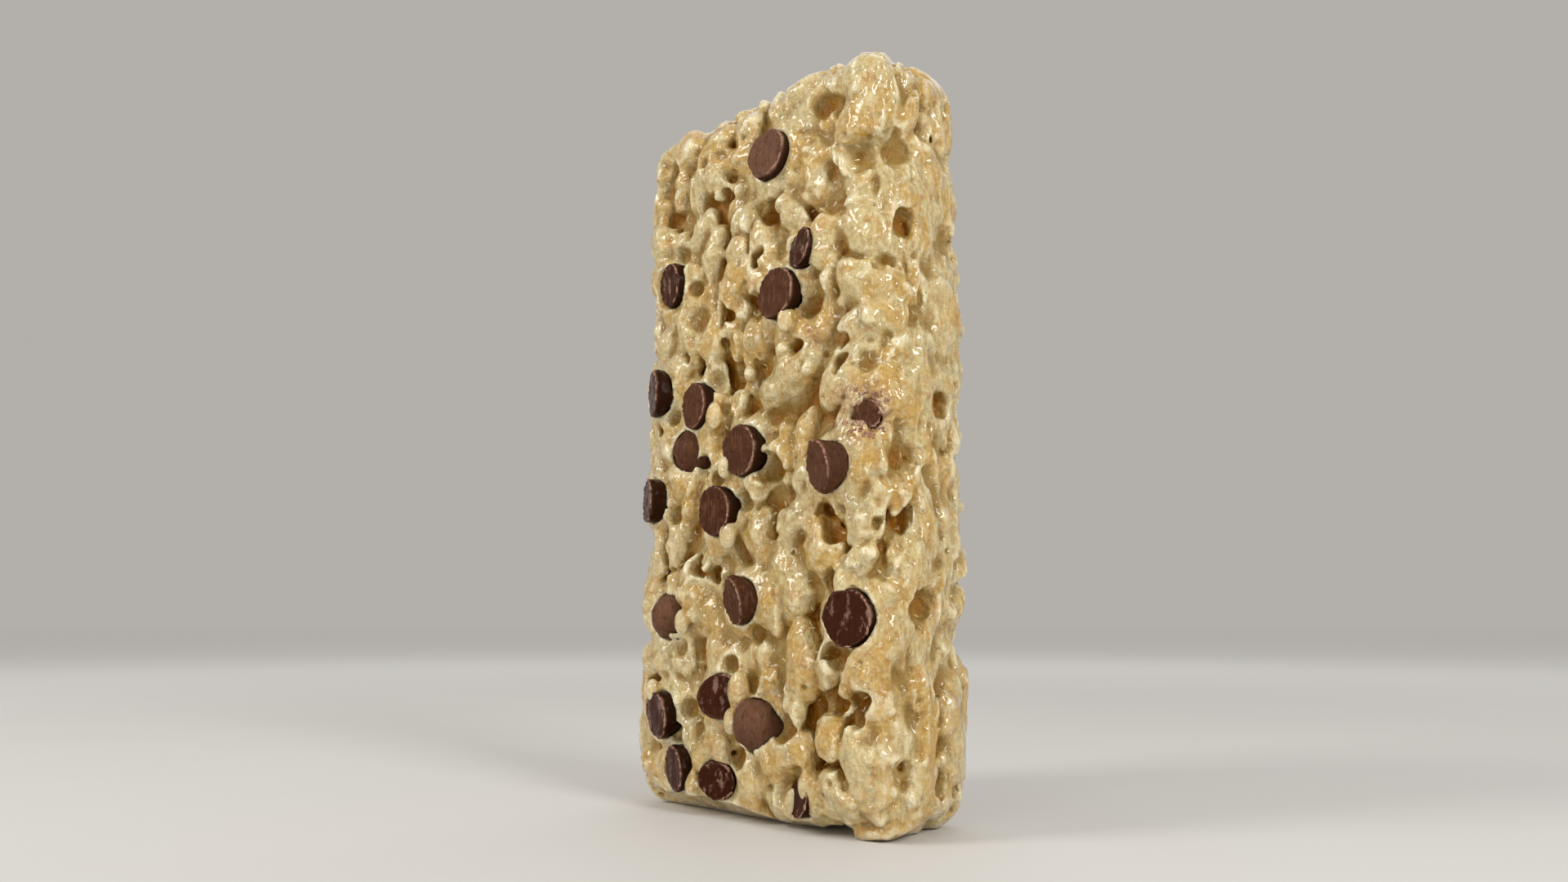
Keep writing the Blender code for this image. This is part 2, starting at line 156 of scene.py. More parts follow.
# The grains that stand out on the front face, from the top down. Lean is the angle of the long
# axis from upright, positive to the right, in degrees.
FRONT_GRAINS = [Grain(*row) for row in (
    (17.6, 81.7, 2.9, 2.5, 60, 0.9), (-6.0, 80.9, 3.8, 2.3, 62, 0.3), (-0.9, 81.1, 2.9, 2.1, 20, 0.2),
    (7.6, 79.1, 3.6, 2.0, 78, 0.0), (-13.4, 77.5, 4.0, 2.2, 12, 0.1), (-9.8, 75.9, 3.7, 2.3, 4, 0.3),
    (-5.7, 75.9, 2.7, 1.8, -14, 0.2), (-2.2, 77.6, 2.5, 1.8, -62, 0.1), (9.4, 74.7, 4.2, 2.8, -58, 0.3),
    (16.4, 76.9, 4.3, 2.7, 28, 0.5, True), (4.2, 72.0, 2.9, 1.6, 80, 0.3),
    (-13.6, 69.5, 3.8, 2.3, -54, 0.2), (-8.2, 69.9, 3.3, 1.8, 34, 0.4), (-1.2, 69.7, 3.4, 2.3, 5, 0.4),
    (6.6, 68.5, 3.4, 2.2, -22, 0.3), (-6.2, 66.3, 3.9, 1.8, 15, 0.4), (-10.2, 62.9, 3.0, 1.8, 12, 0.5),
    (11.4, 61.7, 3.1, 2.2, 12, 0.7), (16.6, 63.3, 3.8, 2.5, -10, 0.6, True),
    (-2.6, 60.5, 4.2, 2.6, 26, 0.4), (16.0, 58.1, 3.8, 2.6, -48, 0.7, True),
    (18.6, 53.6, 3.9, 2.1, 82, 1.0, True), (-15.6, 56.9, 3.4, 2.4, 38, 0.1),
    (1.8, 54.1, 3.7, 2.8, 0, 0.4, True), (9.4, 54.1, 3.7, 2.4, 76, 0.3),
    (-13.2, 51.9, 4.3, 2.5, 14, 0.5), (-6.6, 54.7, 3.6, 2.3, -8, 0.2), (4.6, 47.9, 4.9, 2.3, 84, 0.5),
    (13.6, 46.5, 3.7, 2.9, 58, 0.9, True), (19.2, 39.3, 3.0, 2.4, 10, 0.8, True),
    (5.2, 40.9, 3.5, 2.4, 10, 0.5), (9.0, 42.1, 2.9, 1.7, 8, 0.5), (-12.4, 38.9, 4.0, 2.5, -30, 0.4),
    (1.7, 31.5, 4.5, 3.0, 5, 0.6), (7.4, 32.9, 4.0, 2.6, 62, 0.6), (11.4, 29.1, 4.2, 2.8, -14, 0.6),
    (16.8, 32.1, 3.8, 2.5, 20, 0.5), (-12.8, 31.1, 3.7, 2.4, 30, 0.3), (4.1, 21.4, 2.5, 1.8, -10, 0.5),
    (8.0, 17.9, 5.6, 2.6, -6, 0.7, True), (-8.8, 22.3, 3.9, 2.8, -4, 0.5),
    (1.8, 17.7, 3.1, 2.6, 0, 0.3), (-15.9, 17.7, 3.4, 2.0, 62, 0.4), (-10.6, 16.7, 3.5, 2.6, -20, 0.3),
    (16.2, 15.5, 4.0, 2.7, 30, 0.6), (12.4, 10.1, 2.9, 2.4, -30, 0.3), (17.4, 7.3, 5.2, 2.8, 2, 0.5),
    (6.2, 7.7, 4.3, 2.9, 76, 0.5), (-0.2, 5.5, 3.4, 2.3, -22, 0.3), (12.6, 4.4, 3.0, 2.5, 40, 0.3),
    (-14.8, 4.9, 3.0, 2.3, 0, 0.0),
)]

# Open blisters, where a grain or a bubble has broken away: how far across the face, the height, the
# radius and the depth. Below SMALL_BLISTER in radius they are crevices.
SMALL_BLISTER = 1.3
BLISTERS = {
    "front": (
        (17.0, 72.3, 2.1, 2.3), (13.4, 67.5, 1.9, 2.0), (11.6, 79.9, 1.9, 2.0), (12.9, 31.1, 1.5, 1.8),
        (-7.5, 73.8, 0.8, 2.4), (-11.0, 70.7, 0.9, 2.6), (2.7, 69.0, 1.1, 2.9), (1.5, 64.0, 1.0, 2.7),
        (0.5, 58.8, 1.2, 2.9), (-13.9, 64.9, 0.8, 2.4), (-4.6, 73.4, 0.8, 2.6), (-4.0, 58.2, 0.9, 2.6),
        (7.6, 52.4, 0.8, 2.4), (12.6, 35.6, 0.9, 2.6), (13.4, 21.4, 1.0, 2.8), (-6.2, 27.2, 0.8, 2.4),
        (-16.4, 14.4, 0.7, 2.2), (12.8, 13.2, 0.8, 2.4), (14.2, 51.8, 0.7, 1.8), (13.7, 49.2, 1.0, 2.0),
        (-8.8, 28.0, 1.1, 2.2), (-3.8, 28.7, 2.2, 1.5), (3.4, 38.3, 2.4, 1.6), (9.2, 57.7, 2.4, 1.5),
        (6.4, 64.2, 2.0, 1.3), (-8.6, 58.4, 1.8, 1.3), (3.4, 12.4, 1.9, 1.4), (12.5, 25.5, 1.0, 2.2),
        (13.0, 19.0, 1.0, 2.2), (16.0, 13.5, 1.2, 2.0),
    ),
    "right": (
        (-5.0, 73.1, 2.2, 2.1), (-4.2, 64.5, 1.6, 1.6), (1.4, 44.7, 1.9, 1.8), (-4.6, 38.9, 1.8, 1.8),
        (-2.2, 23.1, 1.8, 1.8), (0.6, 5.1, 1.7, 1.6),
    ),
}

# Lumps of marshmallow that close the deepest cracks: a place and a radius.
FILL_BLEND = 0.8
FILLS = (
    ((19.2, 3.4, 6.4), 1.5), ((19.2, 3.2, 9.2), 1.5), ((20.2, 1.6, 7.6), 0.9), ((20.2, 1.8, 10.6), 0.9),
    ((18.9, -5.0, 34.6), 1.2), ((18.9, -5.0, 56.4), 1.3), ((20.2, 0.8, 77.8), 1.1),
    ((20.2, 1.4, 81.4), 1.1), ((14.8, -6.2, 56.1), 0.9),
)

# Where melted chocolate or toasting has stained the rice: a place and how far round it.
STAINS = (((17.7, -7.4, 43.6), 4.6), ((10.7, -7.4, 52.7), 1.5))

# Each face's outward direction and its axis across, seen from in front of it.
FACES = {
    "front": (Vector((0, -1, 0)), Vector((1, 0, 0))),
    "right": (Vector((1, 0, 0)), Vector((0, 1, 0))),
    "back": (Vector((0, 1, 0)), Vector((-1, 0, 0))),
    "left": (Vector((-1, 0, 0)), Vector((0, -1, 0))),
    "top": (Vector((0, 0, 1)), Vector((1, 0, 0))),
    "bottom": (Vector((0, 0, -1)), Vector((1, 0, 0))),
}

# Relief of the rice: the size of each kind of lump or hollow, and how high or deep it is. A pair
# is the value on the broad faces and the value on the sides.
BEND_SIZE, BEND = 5.0, 0.45
CORE_SIZE, CORE_WAVES = 3.2, 0.6
GROOVE_WIDTH, GROOVE_DEPTH = 0.5, 0.55
LUMP_SIZE, LUMP_HEIGHT = 2.4, (0.20, 0.34)
SMALL_LUMP_SIZE, SMALL_LUMP_HEIGHT = 1.1, 0.10
BASIN_SIZE, BASIN_DEPTH = 5.0, 0.5
SCOOP_SIZE, SCOOP_TALL, SCOOP_DEPTH = 1.7, 1.4, 0.7
FOLD_SIZE, FOLD_DEPTH = 0.8, 0.11
WRINKLE_SIZES, WRINKLE_DEPTH = (0.6, 0.6, 2.4), (0.04, 0.26)
TAUT_SIZE = 4.0

# How much less of the relief there is on the front grains, and on the smooth ones besides.
FRONT_CALM = 0.3
SMOOTH_CALM = 0.4

# How widely the creases between grains are filled: from least to most marshmallow, in patches.
BLEND = (0.3, 1.7)
GLUE_SIZE = 3.4

# Small holes: how many, their radii or widths, and how deep in the block the surface may lie there.
PORES = ((480, (0.2, 0.4)), (60, (0.4, 0.7)))
PORE_LEVEL = 2.2
CREVICES = 150
CREVICE_WIDTH = (0.3, 0.6)
CREVICE_LEVEL = (0.45, 1.5)

# Strands of marshmallow between neighbouring grains.
STRAND_SHARE = 0.4
STRAND_LENGTH = (3, 5.5)
STRAND_SAG = (0.3, 0.9)
STRAND_THIN = (0.3, 0.55)
STRAND_THICK = (0.6, 1.0)


# ---------------------------------------------------------------- where the grains lie

def on_block(point):
    """The nearest point of the rounded block's surface, and the way out from there."""
    inner = HALF - Vector((EDGE_RADIUS,) * 3)
    local = point - BLOCK_MIDDLE
    held = Vector(max(-limit, min(limit, value)) for limit, value in zip(inner, local))
    outward = (local - held).normalized()
    return BLOCK_MIDDLE + held + outward * EDGE_RADIUS, outward


def on_face(face, across, up):
    """The same for a point in the plane of a face. Up is a height over the foot, or on an end face
    a distance back from the middle."""
    outward, sideways = FACES[face]
    reach = sum(abs(part) * limit for part, limit in zip(outward, HALF))
    lift = Vector((0, up, 0)) if outward.z else Vector((0, 0, up - BLOCK_MIDDLE.z))
    return on_block(BLOCK_MIDDLE + outward * reach + sideways * across + lift)


def upright_in(plane):
    """The most upright direction at right angles to this one, or the one furthest back if this one
    is itself nearly upright."""
    upright = Vector((0, 0, 1)) if abs(plane.z) < 0.8 else Vector((0, 1, 0))
    return (upright - plane * upright.dot(plane)).normalized()


def lying(outward, lean):
    """The turn of what lies in the surface, leaning this far from upright. Its rows are the long
    axis, the axis beside that, and the way out."""
    along = Matrix.Rotation(-lean, 3, outward) @ upright_in(outward)
    return np.array((along, outward.cross(along), outward), np.float32)


def front_grains():
    for grain in FRONT_GRAINS:
        place, outward = on_face("front", grain.across, grain.height)
        sink = grain.half_width * GRAIN_FLATNESS - grain.proud
        turn = lying(outward, math.radians(grain.lean))
        yield Placed(place - outward * sink, turn, grain.half_length, grain.half_width)


def random_place(draw):
    """A place picked evenly over the six faces of the block, and its outward direction."""
    sizes = (HALF.x * HALF.z, HALF.y * HALF.z, HALF.x * HALF.y)
    shares = {"front": 0, "back": 0, "right": 1, "left": 1, "top": 2, "bottom": 2}
    face = draw.choices(list(shares), weights=[sizes[i] for i in shares.values()])[0]
    outward, _ = FACES[face]
    if outward.z:
        across = draw.uniform(-HALF.x, HALF.x)
        return on_face(face, across, draw.uniform(-HALF.y, HALF.y))
    half_span = HALF.x if outward.y else HALF.y
    across = draw.uniform(-half_span, half_span)
    return on_face(face, across, BLOCK_MIDDLE.z + draw.uniform(-HALF.z, HALF.z))


def random_grain(draw, depth, size=1.0):
    """A grain somewhere in the surface, with its top this far below it."""
    place, outward = random_place(draw)
    half_length = draw.uniform(*GRAIN_HALF_LENGTH) * size
    half_width = draw.uniform(*GRAIN_HALF_WIDTH) * size
    turn = lying(outward, math.radians(draw.gauss(0, GRAIN_LEAN_SPREAD)))
    sink = draw.uniform(*depth) + half_width * GRAIN_FLATNESS
    return Placed(place - outward * sink, turn, half_length, half_width)


def filler_grains(taken, draw):
    """Grains dropped at random wherever no other grain is nearer than FILLER_GAP."""
    centres = [grain.centre for grain in taken]
    for _ in range(FILLER_TRIES):
        grain = random_grain(draw, FILLER_DEPTH)
        if all((grain.centre - other).length > FILLER_GAP for other in centres):
            centres.append(grain.centre)
            yield grain


# ---------------------------------------------------------------- the field

SHAPE = tuple(int(n) for n in (GRID_HIGH - GRID_LOW) / STEP)
LINES = [low + STEP * np.arange(count, dtype=np.float32) for low, count in zip(GRID_LOW, SHAPE)]


def in_box(box):
    """The coordinates inside a box of the grid, an array for each axis, ready to broadcast."""
    return np.meshgrid(*(line[part] for line, part in zip(LINES, box)), indexing="ij", sparse=True)


SPREAD = in_box([slice(None)] * 3)


def spline_weights(count, cell):
    """Cubic B-spline weights that turn values a cell apart into smooth values a step apart."""
    place = np.arange(count) * STEP / cell
    base = np.floor(place).astype(int)
    part = place - base
    weights = np.zeros((count, base.max() + 4), np.float32)
    rows = np.arange(count)
    weights[rows, base] = (1 - part) ** 3 / 6
    weights[rows, base + 1] = (3 * part**3 - 6 * part**2 + 4) / 6
    weights[rows, base + 2] = (-3 * part**3 + 3 * part**2 + 3 * part + 1) / 6
    weights[rows, base + 3] = part**3 / 6
    return weights


def noise(draw, *cells):
    """Smooth noise over the grid, mostly from -1 to 1, with lumps of the given sizes."""
    weights = [spline_weights(count, cell) for count, cell in zip(SHAPE, cells * (3 // len(cells)))]
    values = draw.standard_normal([part.shape[1] for part in weights]).astype(np.float32)
    for axis, part in enumerate(weights):
        values = np.moveaxis(np.tensordot(part, values, axes=(1, axis)), 0, axis)
    return np.ascontiguousarray(values) * 2


def blurred(values, width):
    """Gaussian blur. Outside the grid counts as the nearest value inside it."""
    reach = math.ceil(2.5 * width / STEP)
    weights = np.exp(-0.5 * (np.arange(-reach, reach + 1) * STEP / width) ** 2)
    weights = (weights / weights.sum()).astype(np.float32)
    for axis, count in enumerate(SHAPE):
        lined = np.moveaxis(values, axis, 0)
        lined = np.pad(lined, ((reach, reach), (0, 0), (0, 0)), "edge")
        total = np.zeros_like(lined[:count])
        for first, weight in enumerate(weights):
            total += weight * lined[first : first + count]
        values = np.moveaxis(total, 0, axis)
    return values


def ramp(values, low, high):
    """0 at low and 1 at high, with a smooth rise between."""
    part = np.clip((values - low) / (high - low), 0, 1)
    return part * part * (3 - 2 * part)


def between(pair, share):
    """From the first of the pair, where the share is 0, to the second, where it is 1."""
    return pair[0] + (pair[1] - pair[0]) * share


def union(field, other, blend):
    """The two shapes together, with the crease between them filled over a width of blend."""
    share = np.clip(0.5 + 0.5 * (field - other) / blend, 0, 1)
    return field + (other - field) * share - blend * share * (1 - share)


def without(field, hole, blend):
    return -union(-field, hole, blend)


def rounded_box(half, radius, x, y, z):
    inner = [abs(value) - (limit - radius) for value, limit in zip((x, y, z), half)]
    outside = np.sqrt(sum(np.maximum(value, 0) ** 2 for value in inner))
    inside = np.minimum(np.maximum(np.maximum(inner[0], inner[1]), inner[2]), 0)
    return outside + inside - radius


def ball_distance(u, v, w, a, b, c):
    """Nearly the distance to an ellipsoid with these half axes."""
    near = np.sqrt((u / a) ** 2 + (v / b) ** 2 + (w / c) ** 2)
    slope = np.sqrt((u / a**2) ** 2 + (v / b**2) ** 2 + (w / c**2) ** 2)
    return near * (near - 1) / np.maximum(slope, 1e-4)


def minus(places, point):
    return [part - value for part, value in zip(places, point)]


def dot(first, second):
    return sum(one * other for one, other in zip(first, second))


def length_of(away):
    return np.sqrt(dot(away, away))


def box_round(centre, reach):
    """The slices of the grid within reach of a point, and the offsets there from the point."""
    low = np.floor((np.array(centre) - reach - GRID_LOW) / STEP).astype(int)
    high = np.ceil((np.array(centre) + reach - GRID_LOW) / STEP).astype(int) + 1
    box = tuple(slice(max(a, 0), max(min(b, n), 0)) for a, b, n in zip(low, high, SHAPE))
    return box, minus(in_box(box), centre)


def sampled(values, points):
    """The grid's values at these points, by trilinear interpolation."""
    place = (points - GRID_LOW) / STEP
    base = np.clip(np.floor(place).astype(int), 0, np.array(SHAPE) - 2)
    part = np.clip(place - base, 0, 1)
    total = np.zeros(len(points), np.float32)
    for corner in np.ndindex(2, 2, 2):
        weight = np.prod(np.where(corner, part, 1 - part), axis=1)
        total += weight * values[tuple((base + corner).T)]
    return total


def slope_at(field, points):
    """The field's direction of steepest rise at these points."""
    rise = np.stack([
        sampled(field, points + shift) - sampled(field, points - shift)
        for shift in np.eye(3) * STEP
    ], 1)
    return rise / np.maximum(np.linalg.norm(rise, axis=1), 1e-6)[:, None]


def surface_from(field, place, outward, inward_reach=5.0):
    """How far the surface lies inside this place of the block, looking inward."""
    steps = np.arange(-MOST_PROUD - 0.3, inward_reach, STEP / 2)
    points = np.array(place)[None, :] - steps[:, None] * np.array(outward)[None, :]
    inside = sampled(field, points) < 0
    return steps[np.argmax(inside)] if inside.any() else inward_reach


def scoops(draw, block):
    """Hollows with sharp ridges between them: 0 in the middle of a hollow, about 0.6 on a ridge."""
    span = GRID_HIGH - GRID_LOW
    count = int(np.prod(span) / (SCOOP_SIZE**3 * SCOOP_TALL))
    seeds = GRID_LOW + draw.random((count, 3)) * span
    seeds = seeds[np.abs(sampled(block, seeds)) < SCOOP_SIZE + 1.5]
    square = np.full(SHAPE, 1.0, np.float32)
    for seed in seeds:
        box, away = box_round(seed, np.array((1, 1, SCOOP_TALL)) * SCOOP_SIZE * 1.05)
        near = (away[0] ** 2 + away[1] ** 2 + (away[2] / SCOOP_TALL) ** 2) / SCOOP_SIZE**2
        np.minimum(square[box], near, out=square[box])
    return square


class Weave:
    """A small block of smooth noise that repeats, for wrinkles that follow each grain."""

    def __init__(self, draw, size=48):
        values = draw.standard_normal((size,) * 3).astype(np.float32)
        for axis in range(3):
            ahead, behind = np.roll(values, 1, axis), np.roll(values, -1, axis)
            values = (ahead + behind + 2 * values) / 4
        self.values = values / values.std() * 0.6
        self.size = size

    def at(self, places, sizes, shift):
        """The noise at these places, with lumps of these sizes."""
        places = [place / size + move for place, size, move in zip(places, sizes, shift)]
        base = [np.floor(place).astype(np.int32) for place in places]
        part = [place - low for place, low in zip(places, base)]
        part = [p * p * (3 - 2 * p) for p in part]
        total = np.zeros(len(places[0]), np.float32)
        for corner in np.ndindex(2, 2, 2):
            weight = 1.0
            for axis in range(3):
                weight = weight * (part[axis] if corner[axis] else 1 - part[axis])
            index = tuple((base[axis] + corner[axis]) % self.size for axis in range(3))
            total += weight * self.values[index]
        return total


class Sculpture:
    """The distance field, and what the colours need to know about each place in it."""

    def __init__(self, draw):
        self.draw = draw
        self.weave = Weave(draw)
        self.bent = [SPREAD[axis] + BEND * noise(draw, BEND_SIZE) for axis in range(3)]
        away = minus(SPREAD, BLOCK_MIDDLE)
        self.block = rounded_box(HALF, EDGE_RADIUS, *away)
        for place, reach, rise in SWELLS:
            from_place = minus(SPREAD, place)
            self.block -= rise * np.exp(-dot(from_place, from_place) / reach**2)
        self.side = ramp(np.abs(away[0]), *(HALF.x - inset for inset in NEAR_END))
        inset = between((CORE_INSET, SIDE_CORE_INSET), self.side)
        self.field = self.block + inset + CORE_WAVES * noise(draw, CORE_SIZE)
        self.glue = ramp(noise(draw, GLUE_SIZE) + 0.4 * self.side, -0.7, 0.9)
        self.blend = between(BLEND, self.glue)
        self.owner = np.full(SHAPE, -1, np.int16)
        self.nearest = self.field.copy()
        self.second = self.field.copy()
        self.count = 0

    def add_grain(self, grain, lobes=LOBES, rough=1.0):
        """Blends a grain into the field: an ellipsoid, bent and tapered, with lobes and wrinkles."""
        draw = self.draw
        a, b = grain.half_length, grain.half_width
        c = b * GRAIN_FLATNESS
        box, _ = box_round(grain.centre, a + 1.4)
        if min(part.stop - part.start for part in box) < 2:
            return
        away = minus((bent[box] for bent in self.bent), grain.centre)
        u, v, w = (dot(row, away) for row in grain.turn)
        v = v + draw.uniform(-GRAIN_BEND, GRAIN_BEND) * (u * u / a - a * 0.4)
        taper = 1 + draw.uniform(-GRAIN_TAPER, GRAIN_TAPER) * u / a
        distance = ball_distance(u, v / taper, w / taper, a, b, c)
        for _ in range(draw.integers(*lobes)):
            side = draw.uniform(-1, 1, 3) * np.multiply(LOBE_REACH, (a, b, c))
            size = draw.uniform(*LOBE_SIZE)
            axes = (half * size * part for half, part in zip((a, b, c), LOBE_AXES))
            distance = union(distance, ball_distance(*minus((u, v, w), side), *axes), 0.4)
        near = np.abs(distance) < 1.0
        skin = (u[near], v[near], w[near])
        shift = draw.uniform(0, 40, 3)
        wrinkles = self.weave.at(skin, GRAIN_WRINKLE, (shift[0], 0, 0))
        dents = self.weave.at(skin, GRAIN_DENT, (0, shift[1], shift[2]))
        push = draw.uniform(*GRAIN_WRINKLE_DEPTH) * wrinkles
        push += draw.uniform(*GRAIN_DENT_DEPTH) * (0.4 - np.abs(dents))
        distance[near] -= rough * push
        if draw.random() < CREASED_SHARE:
            off_crease = (v - draw.uniform(-0.5, 0.5)) / CREASE_WIDTH
            distance += CREASE_DEPTH * np.exp(-(off_crease**2))
        self.field[box] = union(self.field[box], distance, 0.06 + self.blend[box])
        closer = distance < self.nearest[box]
        behind = np.maximum(distance, self.nearest[box])
        self.second[box] = np.minimum(self.second[box], behind)
        self.nearest[box][closer] = distance[closer]
        self.owner[box][closer] = self.count
        self.count += 1

    def roughen(self, first_front):
        """Grooves, dents and wrinkles over the whole skin, weaker on the front grains."""
        draw, field = self.draw, self.field
        groove = np.exp(-(((self.second - self.nearest) / GROOVE_WIDTH) ** 2))
        field += GROOVE_DEPTH * groove * ramp(noise(draw, LUMP_SIZE) - self.glue, 0.1, 0.9)
        smooth = [first_front + n for n, grain in enumerate(FRONT_GRAINS) if grain.smooth]
        plain = 1 - FRONT_CALM * (self.owner >= first_front)
        plain = plain - SMOOTH_CALM * np.isin(self.owner, smooth)
        taut = (0.3 + 0.7 * ramp(noise(draw, TAUT_SIZE), -0.5, 0.8)) * plain
        lumps = between(LUMP_HEIGHT, self.side) * noise(draw, LUMP_SIZE)
        field += (lumps + SMALL_LUMP_HEIGHT * noise(draw, SMALL_LUMP_SIZE)) * plain
        field += BASIN_DEPTH * ramp(noise(draw, BASIN_SIZE), 0.0, 1.2)
        field -= SCOOP_DEPTH * taut * (scoops(draw, self.block) - 0.3)
        field += FOLD_DEPTH * plain * (np.abs(noise(draw, FOLD_SIZE)) - 0.5)
        field += between(WRINKLE_DEPTH, self.side) * (np.abs(noise(draw, *WRINKLE_SIZES)) - 0.5)


def chip_of(node):
    """Reads a chip's place and size from its CAD node: its flat base is its largest flat face."""
    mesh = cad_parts[node].data
    mesh.calc_loop_triangles()
    totals = {}
    for triangle in mesh.loop_triangles:
        key = tuple(round(part, 2) for part in triangle.normal)
        totals.setdefault(key, []).append(triangle)
    flat = max(totals.values(), key=lambda found: sum(triangle.area for triangle in found))
    normal = sum((triangle.normal * triangle.area for triangle in flat), Vector()).normalized()
    corners = [Vector(vert.co) / MM for vert in mesh.vertices]
    edge = {tuple(round(part, 3) for part in corners[i]) for t in flat for i in t.vertices}
    base = sum((Vector(corner) for corner in edge), Vector()) / len(edge)
    axis = -normal
    levels = [(corner - base).dot(axis) for corner in corners]
    reach = [((corner - base) - axis * level).length for corner, level in zip(corners, levels)]
    _, outward = on_block(base)
    radius = max(reach) * CHIP_SCALES.get(int(node[-2:]), 1.0)
    return Chip(node, base, axis, upright_in(axis), radius, max(levels), axis.dot(outward) < 0)


# A chip's outline from its base to its tip, and the chips whose width isn't that of their CAD solid.
CHIP_LEVELS = (0.0, 0.03, 0.15, 0.3, 0.45, 0.6, 0.75, 0.88, 0.96, 1.0)
CHIP_WIDTHS = (0.95, 0.98, 1.0, 0.95, 0.87, 0.76, 0.60, 0.41, 0.22, 0.0)
CHIP_SCALES = {7: 0.74, 8: 1.3, 14: 1.15, 15: 0.95, 16: 0.9, 20: 0.92, 21: 1.1}

# The low collar of rice that hugs a chip, and the gap and the moat left round the chip itself.
COLLAR_DEPTH = 1.5
COLLAR_WIDTH = 1.1
COLLAR_BELOW_BASE = (0.1, 0.6)
BED_GAP = 0.08
MOAT_DEPTH = 0.5

# Rice that laps over the edge of a chip: the chip's number, the side that it covers (in degrees
# from the right, counted up and over), how far out from the chip's axis it lies, and its radius.
LAPS = (
    (2, -20, 2.6, 1.4), (2, 35, 2.8, 1.2), (7, 30, 2.0, 0.9), (7, 120, 2.0, 1.1), (7, 250, 2.1, 1.0),
    (14, -10, 3.9, 1.0), (16, 10, 3.4, 1.4), (16, -50, 3.5, 1.0), (19, -40, 3.1, 1.2),
    (20, 80, 2.9, 1.2), (20, 150, 3.0, 1.0), (21, 20, 1.9, 1.4), (21, 70, 2.1, 1.0),
    (21, 200, 2.0, 1.1), (17, 120, 3.2, 0.9), (12, -60, 3.4, 1.1), (9, 210, 3.4, 0.9),
    (6, -30, 3.3, 1.1), (4, -70, 3.4, 1.0), (15, 100, 3.7, 1.0),
)

# Hollows in the rice beside a chip: the chip's number, the side, how far out, and the radius.
CHIP_HOLLOWS = (
    (2, 70, 3.4, 1.3), (2, -60, 3.2, 1.0), (3, 75, 3.8, 1.3), (3, -20, 4.2, 1.0), (4, 190, 4.2, 1.4),
    (4, -25, 4.3, 1.6), (5, -60, 3.9, 1.1), (6, 45, 3.9, 1.4), (6, -10, 4.0, 0.9), (8, -35, 4.0, 1.4),
    (9, -35, 4.2, 1.9), (9, 20, 3.9, 1.1), (11, -30, 3.9, 1.2), (12, 15, 3.9, 1.3),
    (12, 100, 3.9, 1.0), (13, 150, 4.0, 1.7), (13, -75, 4.1, 1.2), (14, -60, 4.2, 1.2),
    (15, 125, 4.4, 1.4), (15, -110, 4.4, 1.4), (16, 60, 4.0, 1.2), (17, 10, 4.3, 1.2),
    (18, -5, 4.6, 1.8), (18, 100, 4.3, 1.2), (19, 100, 4.0, 1.2), (19, -10, 3.9, 1.2),
    (20, 40, 4.0, 1.3), (21, 100, 3.2, 1.0),
)


def chip_block(chip, side=0):
    """Where the chip's axis comes out of the block, the way out, how far its face stands out, and
    the direction along the surface to one side of it."""
    place, outward = on_block(chip.base + chip.axis * chip.height * 0.4)
    tip = chip.base if chip.base_out else chip.base + chip.axis * chip.height
    beside = Matrix.Rotation(math.radians(side), 3, outward) @ chip.up.cross(outward)
    return place, outward, (tip - place).dot(outward), beside


def blend_ball(change, field, centre, radius, blend):
    """Add a ball to the field, where change is union, or cut one out, where it is without."""
    box, away = box_round(centre, radius + 2 * blend)
    field[box] = change(field[box], length_of(away) - radius, blend)


def add_collar(field, chip, draw):
    """Raises the bar round a chip, so that it sits in the bar and not on it."""
    place, outward, proud, _ = chip_block(chip)
    rise = COLLAR_DEPTH + proud - draw.uniform(*COLLAR_BELOW_BASE)
    if not chip.base_out:
        rise -= chip.height * 0.6
    reach = chip.radius + COLLAR_WIDTH
    box, away = box_round(place - outward * COLLAR_DEPTH, reach + 2)
    out = dot(outward, away)
    across = np.sqrt(np.maximum(dot(away, away) - out * out, 0))
    field[box] = union(field[box], ball_distance(across, 0, out, reach, 1, max(rise, 0.5)), 1.4)


def add_lap(field, chips, number, side, reach, radius):
    """A small lump of rice over the edge of a chip."""
    place, outward, proud, beside = chip_block(chips[number - 1], side)
    centre = place + beside * reach + outward * (min(proud, 1.2) - radius * 0.55)
    box, away = box_round(centre, radius + 2)
    lump = ball_distance(*away, radius, radius * 0.8, radius * 1.5)
    field[box] = union(field[box], lump, 0.5)


def cut_hollow(field, chips, number, side, reach, radius):
    """A deep soft hollow in the rice beside a chip."""
    place, outward, _, beside = chip_block(chips[number - 1], side)
    blend_ball(without, field, place + beside * reach - outward * (COLLAR_DEPTH * 0.2), radius, 0.5)


def cut_bed(field, chip):
    """Cuts out the bed of a chip, a moat round where it comes out, and what would lie before its
    base."""
    box, _ = box_round(chip.base + chip.axis * chip.height / 2, chip.height + 4)
    away = minus(in_box(box), chip.base)
    level = dot(chip.axis, away)
    reach = np.sqrt(np.maximum(dot(away, away) - level * level, 0))
    width = np.interp(level / chip.height, CHIP_LEVELS, CHIP_WIDTHS).astype(np.float32)
    bed = np.maximum(reach - chip.radius * width - BED_GAP, level - chip.height - BED_GAP)
    if chip.base_out:
        moat = reach - chip.radius - BED_GAP - 0.5 * np.maximum(MOAT_DEPTH - level, 0)
        bed = np.minimum(bed, np.maximum(moat, level - MOAT_DEPTH))
    else:
        bed = np.maximum(bed, -level - BED_GAP)
    field[box] = without(field[box], bed, 0.2)


